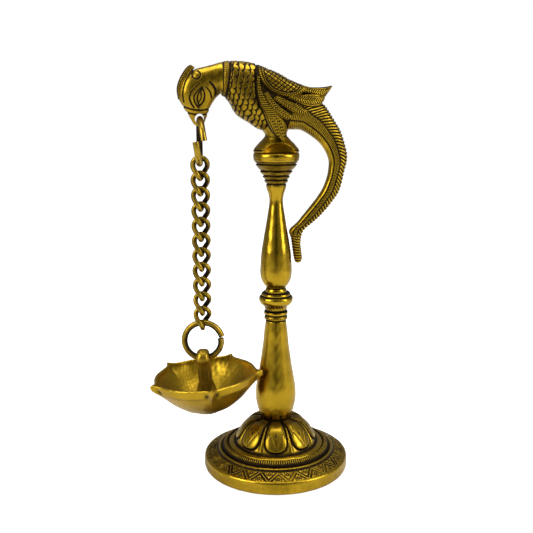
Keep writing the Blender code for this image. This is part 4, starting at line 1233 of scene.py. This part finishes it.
def pedestal():
    """Legs and the round foot under them, scooped out in front and behind."""
    edge = box_mm("upper_column")[1].x
    sections = [
        ((-8.0, 15.6), (6.6, 15.6), 7.6),
        ((-7.2, 11.0), (5.7, 11.0), 6.6),
        ((-5.5, 8.3), (4.9, 8.3), 6.0),
        ((-6.2, 6.4), (6.1, 6.4), 6.6),
        ((0.4 - 0.80 * edge, 4.1), (0.80 * edge - 0.4, 4.1), 0.78 * edge),
        ((-0.95 * edge, 1.7), (0.95 * edge, 1.7), 0.93 * edge),
        ((-edge, 0.7), (edge, 0.7), edge),
        ((0.15 - edge, 0.0), (edge - 0.15, 0.0), edge - 0.15),
    ]

    def legs(at, relief):
        relief.cut(np.abs(at["z"] - 1.15), 0.5, 0.22)
        relief.cut(np.abs(at["z"] - 7.4), 0.6, 0.15, 1.0, 0.6)

    scoops = []
    for side in (-1, 1):
        bm = bmesh.new()
        bmesh.ops.create_uvsphere(bm, u_segments=72, v_segments=36, radius=MM)
        bmesh.ops.scale(bm, vec=(0.86 * edge, 5.6, 5.6), verts=bm.verts)
        place = bird_point(0, side * edge, -0.1)
        matrix = Matrix.Translation(place * MM) @ Matrix.Rotation(BIRD_TURN, 4, "Z")
        bmesh.ops.transform(bm, matrix=matrix, verts=bm.verts)
        scoops.append(mesh_from(bm, "scoop"))
    bird_loft("peacock_legs", sections, 90, 200, legs, squareness=2.0, holes=scoops)


def wings():
    bird_loft("peacock_shoulder", SHIELD, 150, 300, shield_pattern, squareness=2.7)
    for name, sections in FEATHERS.items():
        bird_loft(name, sections, 120, 180, feather_pattern, squareness=6.0)


def tail():
    bird_loft(
        "peacock_tail", BODY, 460, 150, tail_pattern, squareness=2.4, span=(RUMP_KNOT - 1, len(BODY) - 1)
    )


# --- The chain ---

LINK_HALF_WIDTH = 3.55  # to the middle of the wire
FIRST_LINK_TURN, LAST_LINK_TURN = radians(34), radians(47)

def split_ring(radius, saw_angle, offset, gap=0.5, spring=0.0, count=150):
    """Points round an open ring in the XZ plane, sawn through, with its ends sprung apart along Y."""
    half_gap = gap / 2 / radius
    t = np.linspace(0, 1, count)
    angle = saw_angle + half_gap + t * (2 * pi - 2 * half_gap)
    reach = radius + spring * (1 - 2 * t) ** 9 - abs(spring)
    return np.stack([reach * np.cos(angle), offset * (1 - 2 * t) ** 3, reach * np.sin(angle)], axis=1)


def placed(points, turn, place):
    """Points turned about Z and moved to a place."""
    return points @ np.array(Matrix.Rotation(turn, 3, "Z")).T + np.array(place)


def wire_lines_and_shade(along, turn, relief):
    """Draw lines along a wire, and painted shade on its inner side, which faces the middle of the ring or link."""
    relief.raise_by(0.02 * np.sin(5 * turn + 9 * along) + 0.02 * np.sin(31 * along + 2 * turn))
    # Painted shade on the inner side of the wire.
    relief.darken(0.92 * np.exp(-(((np.cos(turn) + 1) / 0.95) ** 4)))


def rings():
    wire = settings().chain.ring_wire / MM
    beak_points = {"saw_angle": radians(4), "offset": 1.9}
    dish_points = {"saw_angle": radians(10), "offset": 0.0, "gap": 1.0, "spring": 0.35}
    for node, hole, turn, points in (
        ("beak_ring", BEAK_HOLE, -pi / 2 + BIRD_TURN / 2, beak_points),
        ("dish_ring", LUG_HOLE, 0.0, dish_points),
    ):
        foot, top, _ = turned_size(node)
        radius = (top - foot) / 2 - wire
        path = placed(split_ring(radius, **points), turn, (hole.x, hole.y, (foot + top) / 2))
        mesh = tube(node, path, wire, False, 28, wire_lines_and_shade)
        finish_piece(node + "_wire", mesh, node, "ring_brass", [node], radians(50))


def curb_path(half_width, half_length, twist, count=110):
    """Points round one curb link: a long oval with round ends, which are twisted opposite ways about Z."""
    t = np.linspace(0, 2 * pi, count, endpoint=False)
    x = half_width * np.cos(t)
    z = half_width * np.sin(t) + (half_length - half_width) * np.tanh(3 * np.sin(t)) / tanh(3)
    turn = twist * np.sin(pi / 2 * z / half_length)
    return np.stack([x * np.cos(turn), x * np.sin(turn), z], axis=1)


def chain():
    chain_settings = settings().chain
    wire = chain_settings.link_wire / MM
    for k, node in enumerate(LINKS):
        foot, top, _ = turned_size(node)
        path = curb_path(LINK_HALF_WIDTH, (top - foot) / 2 - wire, chain_settings.twist)
        turn = FIRST_LINK_TURN + (LAST_LINK_TURN - FIRST_LINK_TURN) * k / (len(LINKS) - 1)
        path = placed(path, turn, (BEAK_HOLE.x, BEAK_HOLE.y, (foot + top) / 2))

        def link_lines_and_shade(along, around, relief):
            wire_lines_and_shade(along, around, relief)
            # Darker at the middle of each long side of the link.
            end = bell(np.abs((along + 0.25) % 0.5 - 0.25), 0.05)
            relief.raise_by(0.02 * np.sin(17 * along + k))
            relief.darken(0.45 * end)

        mesh = tube(node, path, wire, True, 22, link_lines_and_shade)
        finish_piece(f"curb_link_{k + 1:02d}", mesh, node, "chain_brass", [node])


# --- The dish ---

DISH_SIDE, DISH_LIP, DISH_DEPTH = 25.4, 3.6, 19.4
RIM_DROP = 7.9  # from the middle of the lug's hole down to the rim
DISH_FLOOR = 1.9 - 0.92 * DISH_DEPTH  # from the rim to the floor inside
LUG_HOLE_RADIUS, LUG_WALL, LUG_HALF_THICKNESS = 2.4, 2.4, 3.15

def lip_share(angle):
    """1 at a lip, 0 midway between two lips: round sides that are drawn out to the lips."""
    fifth = 2 * pi / 5
    off = np.abs((angle + fifth / 2) % fifth - fifth / 2)
    straight = cos(fifth / 2) / np.cos(fifth / 2 - off)
    return ((straight - cos(fifth / 2)) / (1 - cos(fifth / 2))) ** 2.6


def hung(places):
    """Places about the hole in the lug, tilted as the dish hangs."""
    tilt = np.array(Matrix.Rotation(settings().dish.tilt, 3, "Y"))
    return places @ tilt.T + np.array(LUG_HOLE)


def dish():
    side, lip, depth = DISH_SIDE, DISH_LIP, DISH_DEPTH
    wall = settings().dish.wall / MM
    # Radius, height over the rim, and how far the lips draw each place out.
    outer = [(0.1, -depth, 0), (0.12 * side, -depth, 0), (0.24 * side, -depth, 0)]
    outer += [(0.27 * side, 0.35 - depth, 0), (0.29 * side, 0.9 - depth, 0), (0.46 * side, -0.86 * depth, 0)]
    outer += [(0.66 * side, -0.68 * depth, 0), (0.84 * side, -0.45 * depth, 0.10)]
    outer += [(0.93 * side, -0.29 * depth, 0.35), (0.975 * side, -0.19 * depth, 0.7)]
    outer += [(side - 0.25, -0.10 * depth, 1), (side - 0.05, -0.4, 1)]
    rim = [(side - 0.25, 0, 1), (side - wall / 2, 0.12, 1), (side - wall + 0.2, -0.05, 1)]
    inner = [(side - wall, -0.5, 1), (side - wall - 0.3, -0.10 * depth, 0.8)]
    inner += [(0.93 * side - wall, -0.24 * depth, 0.3), (0.80 * side - wall, -0.45 * depth, 0.05)]
    inner += [(0.62 * side - wall, 1.5 - 0.72 * depth, 0), (0.40 * side - wall, DISH_FLOOR, 0)]
    inner += [(2.4, DISH_FLOOR, 0), (0.1, DISH_FLOOR, 0)]
    profile = smooth_line(outer + rim + inner, 0.42)
    rows, columns = len(profile), 520
    turn = np.arange(columns) * 2 * pi / columns
    peak = lip_share(turn)
    radius = profile[:, :1] + lip * profile[:, 2:] * peak
    height = profile[:, 1:2] + 0.7 * profile[:, 2:] * peak
    turned = turn[None] + settings().dish.turn
    places = np.stack([radius * np.cos(turned), radius * np.sin(turned), height - RIM_DROP], axis=2)
    top_row = int(np.argmax(profile[:, 1]))
    row = np.repeat(np.arange(rows)[:, None], columns, axis=1)
    outside = row < top_row
    fifth = 2 * pi / 5
    off = ((turn + fifth / 2) % fifth - fifth / 2)[None] * np.ones((rows, 1))
    across = off * radius
    relief = Relief(across)
    below = -height
    near_rim = bell(below - 1.2, 2.6)
    # A lip is a pinched rib with a dent on each side of it outside, and a notch inside.
    relief.raise_by(outside * near_rim * 0.35 * bell(across, 1.3))
    dent = np.hypot((np.abs(across) - 2.6) / 1.15, (below - 3.1) / 1.9)
    relief.raise_by(-0.55 * outside * np.exp(-(dent**2)))
    relief.darken(0.85 * outside * bell(dent, 0.85))
    notch = bell(across, 1.1) * bell(below - 1.6, 2.4)
    relief.raise_by(-0.45 * ~outside * notch)
    relief.darken(0.6 * ~outside * notch)
    # Faint rings that the lathe left inside, stains of oil and soot, and painted shade round the lug's flange.
    rings_inside = 0.5 + 0.5 * np.cos(2 * pi * profile[:, :1] / 1.6)
    floor = ~outside * step(below, 4.5, 2.0)
    relief.raise_by(-0.03 * floor * rings_inside)
    relief.darken(0.16 * floor * rings_inside)
    stain = np.sin(2.1 * turned + 0.6) * np.sin(0.35 * radius + 1.3 * np.sin(3 * turned))
    relief.darken(0.38 * ~outside * np.clip(stain, 0, 1) * step(below, 1.5, 1.5))
    # Painted shade in a ring on the floor round the foot of the lug's flange.
    corner = bell(radius - 7.9, 1.0) * ~outside
    relief.darken(0.8 * corner)
    soot = 0.55 * bell(radius, 12) * ~outside
    relief.darken(soot * (0.8 + 0.4 * np.sin(5 * turned + 0.4 * radius)))
    shoulder = bell(below - 0.24 * depth, 0.5) * outside
    relief.darken(0.30 * shoulder)
    base_ring = bell(radius - 0.28 * side, 0.5) * outside * step(below, depth - 1.6, 0.5)
    relief.darken(0.6 * base_ring)
    normals = grid_normals(places)
    middle = places.mean(axis=1, keepdims=True) * np.array((1, 1, 0)) + np.array((0, 0, -RIM_DROP))
    way = np.einsum("jk,jk->j", normals[top_row - 12], (places - middle)[top_row - 12]).mean()
    normals = normals * np.sign(way)
    places = places + normals * (relief.height + 1.5 * unevenness(1.4 * places))[..., None]
    dark = np.clip(relief.dark, 0, 1)
    places[0], places[-1] = places[0].mean(axis=0), places[-1].mean(axis=0)
    mesh = draped_grid(hung(places), dark, "dish_bowl")
    finish_piece("dish_bowl", mesh, "dish", "dish_brass", ["dish"])


def lug():
    """The eye that stands on the dish's floor, and the cone that spreads from it onto the floor."""
    half = LUG_HALF_THICKNESS
    eye = LUG_HOLE_RADIUS + LUG_WALL
    floor = DISH_FLOOR - RIM_DROP
    start = asin((eye - 0.5) / eye) - pi / 2
    angles = np.linspace(start, pi - start, 26)
    outline = [(eye + 0.2, floor)] + [(eye * cos(a), eye * sin(a)) for a in angles] + [(-eye - 0.2, floor)]
    bm = bmesh.new()
    verts = [bm.verts.new((-half * MM, x * MM, z * MM)) for x, z in outline]
    face = bm.faces.new(verts)
    made = bmesh.ops.extrude_face_region(bm, geom=[face])
    moved = [part for part in made["geom"] if isinstance(part, bmesh.types.BMVert)]
    bmesh.ops.translate(bm, vec=(2 * half * MM, 0, 0), verts=moved)
    bmesh.ops.recalc_face_normals(bm, faces=bm.faces)
    sharp = [e for e in bm.edges if e.is_manifold and e.calc_face_angle(0) > radians(40)]
    bmesh.ops.bevel(bm, geom=sharp, offset=2.3 * MM, segments=8, profile=0.5, affect="EDGES", material=-1)
    body = mesh_from(bm, "dish_lug_eye")
    made = drill(body, [rod(LUG_HOLE_RADIUS, 12, (0, 0, 0), (1, 0, 0), sides=56)])
    bm = bmesh.new()
    bm.from_mesh(made)
    bmesh.ops.triangulate(bm, faces=[f for f in bm.faces if len(f.verts) > 4])
    for _ in range(2):
        long_edges = [e for e in bm.edges if e.calc_length() > 0.7 * MM]
        bmesh.ops.subdivide_edges(bm, edges=long_edges, cuts=1, use_grid_fill=True)
        bmesh.ops.triangulate(bm, faces=bm.faces)
    place_hung(bm)
    mesh = carved(bm, "dish_lug_eye", lug_darker_below, waves=1.6)
    finish_piece("dish_lug_eye", mesh, "dish", "lug_brass", ["dish_lug"], radians(38))
    boss = [(half - 0.1, -10.0), (half + 0.15, -11.2), (half + 0.9, -13.4), (half + 1.9, -16.4)]
    boss += [(half + 2.7, -19.4), (half + 3.5, floor + 1.6), (half + 4.1, floor + 0.5)]
    boss += [(half + 4.2, floor - 0.25)]
    bm = spun([(0, -10.0)] + runs(boss, spacing=0.35) + [(0, floor - 0.25)], 96)
    place_hung(bm)
    mesh = carved(bm, "dish_lug_flange", lug_darker_below, waves=3.0)
    finish_piece("dish_lug_flange", mesh, "dish", "lug_brass", ["dish_lug"])


def place_hung(bm):
    matrix = Matrix.Translation(LUG_HOLE * MM) @ Matrix.Rotation(settings().dish.tilt, 4, "Y")
    bmesh.ops.transform(bm, matrix=matrix, verts=bm.verts)


def lug_darker_below(co, relief):
    # Darker towards the bottom of the lug and its flange.
    low = LUG_HOLE.z - 3.0
    relief.darken(0.45 * (1 - step(co[:, 2], low, 3.5)))


# --- The stage ---

LIT_PLACE = (0, 0, 0.1)
CAMERA_ASIDE = -4.69 * MM
FLOOR_GLOW = 0.80

def plane(name, width, depth, place, turn, material):
    bm = bmesh.new()
    bmesh.ops.create_grid(bm, x_segments=1, y_segments=1, size=0.5)
    bmesh.ops.scale(bm, vec=(width, depth, 1), verts=bm.verts)
    mesh = bpy.data.meshes.new(name)
    bm.to_mesh(mesh)
    bm.free()
    mesh.materials.append(material)
    obj = bpy.data.objects.new(name, mesh)
    obj.location = place
    obj.rotation_euler = turn
    bpy.context.scene.collection.objects.link(obj)
    return obj


def soft_light(name, place, size, power):
    light = bpy.data.lights.new(name, "AREA")
    light.shape = "RECTANGLE"
    light.size, light.size_y = size
    light.energy = power
    obj = bpy.data.objects.new(name, light)
    obj.location = place
    obj.rotation_euler = (Vector(LIT_PLACE) - Vector(place)).to_track_quat("-Z", "Y").to_euler()
    obj.visible_camera = False
    bpy.context.scene.collection.objects.link(obj)
    return obj


def plain_material(name, color, roughness):
    material = bpy.data.materials.new(name)
    material.use_nodes = True
    shader = material.node_tree.nodes["Principled BSDF"]
    shader.inputs["Base Color"].default_value = (*color, 1)
    shader.inputs["Roughness"].default_value = roughness
    shader.inputs["Specular IOR Level"].default_value = 0.2
    return material


def stage():
    wanted = settings().stage
    scene = bpy.context.scene
    camera = bpy.data.objects.new("camera", bpy.data.cameras.new("camera"))
    camera.data.lens = wanted.lens
    camera.data.sensor_width = 36
    camera.data.clip_start = 0.01
    camera.data.clip_end = 20
    camera.location = (CAMERA_ASIDE, -wanted.distance, wanted.height)
    camera.rotation_euler = (pi / 2 - wanted.pitch, 0, 0)
    scene.collection.objects.link(camera)
    scene.camera = camera
    floor = plain_material("floor_paper", wanted.floor, 0.9)
    tree = Tree(floor.node_tree)
    glow = tree.math("MULTIPLY", tree.add("ShaderNodeLightPath").outputs["Is Camera Ray"], FLOOR_GLOW)
    shader = floor.node_tree.nodes["Principled BSDF"]
    floor.node_tree.links.new(glow, shader.inputs["Emission Strength"])
    shader.inputs["Emission Color"].default_value = (1, 1, 1, 1)
    plane("floor", 6, 6, (0, 0, -0.0004), (0, 0, 0), floor)
    world = bpy.data.worlds.new("studio")
    world.use_nodes = True
    tree = Tree(world.node_tree)
    seen = tree.add("ShaderNodeLightPath").outputs["Is Camera Ray"]
    strength = tree.math("MULTIPLY_ADD", seen, 1 - wanted.daylight, wanted.daylight)
    world.node_tree.links.new(strength, world.node_tree.nodes["Background"].inputs["Strength"])
    world.node_tree.nodes["Background"].inputs["Color"].default_value = (1, 1, 1, 1)
    scene.world = world
    soft_light("left_softbox", (-0.55, -0.35, 0.45), (0.35, 0.6), 3.4)
    soft_light("right_softbox", (0.60, -0.25, 0.40), (0.30, 0.6), 2.8)
    soft_light("top_softbox", (0.0, 0.05, 0.85), (0.6, 0.5), 4.0)
    card = plain_material("dark_card", (0.012, 0.012, 0.012), 0.8)
    front = plane("dark_card", 0.28, 1.2, (0.0, -0.62, 0.25), (pi / 2, 0, 0), card)
    front.visible_camera = False
    front.visible_diffuse = False
    front.visible_shadow = False
    scene.view_settings.view_transform = "Standard"
    scene.view_settings.look = "None"
    scene.view_settings.exposure = 0.0
    scene.view_settings.gamma = 1.0


# --- Operators and panel ---


class LAMP_OT_foot(bpy.types.Operator):
    """Adds the foot: petalled dome, bead ring and chased border"""

    bl_idname = "lamp.foot"
    bl_label = "Foot"

    def execute(self, context):
        foot_pieces()
        return {"FINISHED"}


class LAMP_OT_pillar(bpy.types.Operator):
    """Adds the two turned columns, the collar and the knop, and finishes the hidden studs"""

    bl_idname = "lamp.pillar"
    bl_label = "Pillar"

    def execute(self, context):
        pillar_pieces()
        for node in STUDS:
            mesh = frame["nodes"][node].data
            mesh.materials.clear()
            mesh.materials.append(brass("stud_brass"))
        return {"FINISHED"}


class LAMP_OT_head(bpy.types.Operator):
    """Adds the peacock's head with its eyes, beak and crest"""

    bl_idname = "lamp.head"
    bl_label = "Head"

    def execute(self, context):
        head_and_crest()
        return {"FINISHED"}


class LAMP_OT_body(bpy.types.Operator):
    """Adds the peacock's scaled body, its legs and their round foot"""

    bl_idname = "lamp.body"
    bl_label = "Body"

    def execute(self, context):
        body_and_legs()
        return {"FINISHED"}


class LAMP_OT_wings(bpy.types.Operator):
    """Adds the latticed shoulder and the long wing feathers"""

    bl_idname = "lamp.wings"
    bl_label = "Wings"

    def execute(self, context):
        wings()
        return {"FINISHED"}


class LAMP_OT_tail(bpy.types.Operator):
    """Adds the tail with its fringe of barbs"""

    bl_idname = "lamp.tail"
    bl_label = "Tail"

    def execute(self, context):
        tail()
        return {"FINISHED"}


class LAMP_OT_rings(bpy.types.Operator):
    """Adds the sawn rings at the beak and at the dish"""

    bl_idname = "lamp.rings"
    bl_label = "Rings"

    def execute(self, context):
        rings()
        return {"FINISHED"}


class LAMP_OT_chain(bpy.types.Operator):
    """Adds the curb links of the chain"""

    bl_idname = "lamp.chain"
    bl_label = "Chain"

    def execute(self, context):
        chain()
        return {"FINISHED"}


class LAMP_OT_dish(bpy.types.Operator):
    """Adds the five-lipped dish and its lug"""

    bl_idname = "lamp.dish"
    bl_label = "Dish"

    def execute(self, context):
        dish()
        lug()
        return {"FINISHED"}


class LAMP_OT_stage(bpy.types.Operator):
    """Adds the floor, the lights and the camera"""

    bl_idname = "lamp.stage"
    bl_label = "Stage"

    def execute(self, context):
        stage()
        return {"FINISHED"}


OPERATORS = (
    LAMP_OT_foot,
    LAMP_OT_pillar,
    LAMP_OT_head,
    LAMP_OT_body,
    LAMP_OT_wings,
    LAMP_OT_tail,
    LAMP_OT_rings,
    LAMP_OT_chain,
    LAMP_OT_dish,
    LAMP_OT_stage,
)
GROUPS = (FootSettings, BirdSettings, ChainSettings, DishSettings, FinishSettings, StageSettings)


class LAMP_PT_lamp(bpy.types.Panel):
    bl_label = "Peacock oil lamp"
    bl_space_type = "VIEW_3D"
    bl_region_type = "UI"
    bl_category = "Lamp"

    def draw(self, context):
        for operator in OPERATORS:
            self.layout.operator(operator.bl_idname)
        for name in ("foot", "bird", "chain", "dish", "finish", "stage"):
            box = self.layout.box()
            group = getattr(context.scene.oil_lamp, name)
            for field in group.__annotations__:
                box.prop(group, field)


def register():
    for kind in (*GROUPS, LampSettings, *OPERATORS, LAMP_PT_lamp):
        bpy.utils.register_class(kind)
    bpy.types.Scene.oil_lamp = PointerProperty(type=LampSettings)


def unregister():
    del bpy.types.Scene.oil_lamp
    for kind in reversed((*GROUPS, LampSettings, *OPERATORS, LAMP_PT_lamp)):
        bpy.utils.unregister_class(kind)


def main():
    register()
    for operator in OPERATORS:
        group, name = operator.bl_idname.split(".")
        getattr(getattr(bpy.ops, group), name)()


if __name__ == "__main__":
    main()
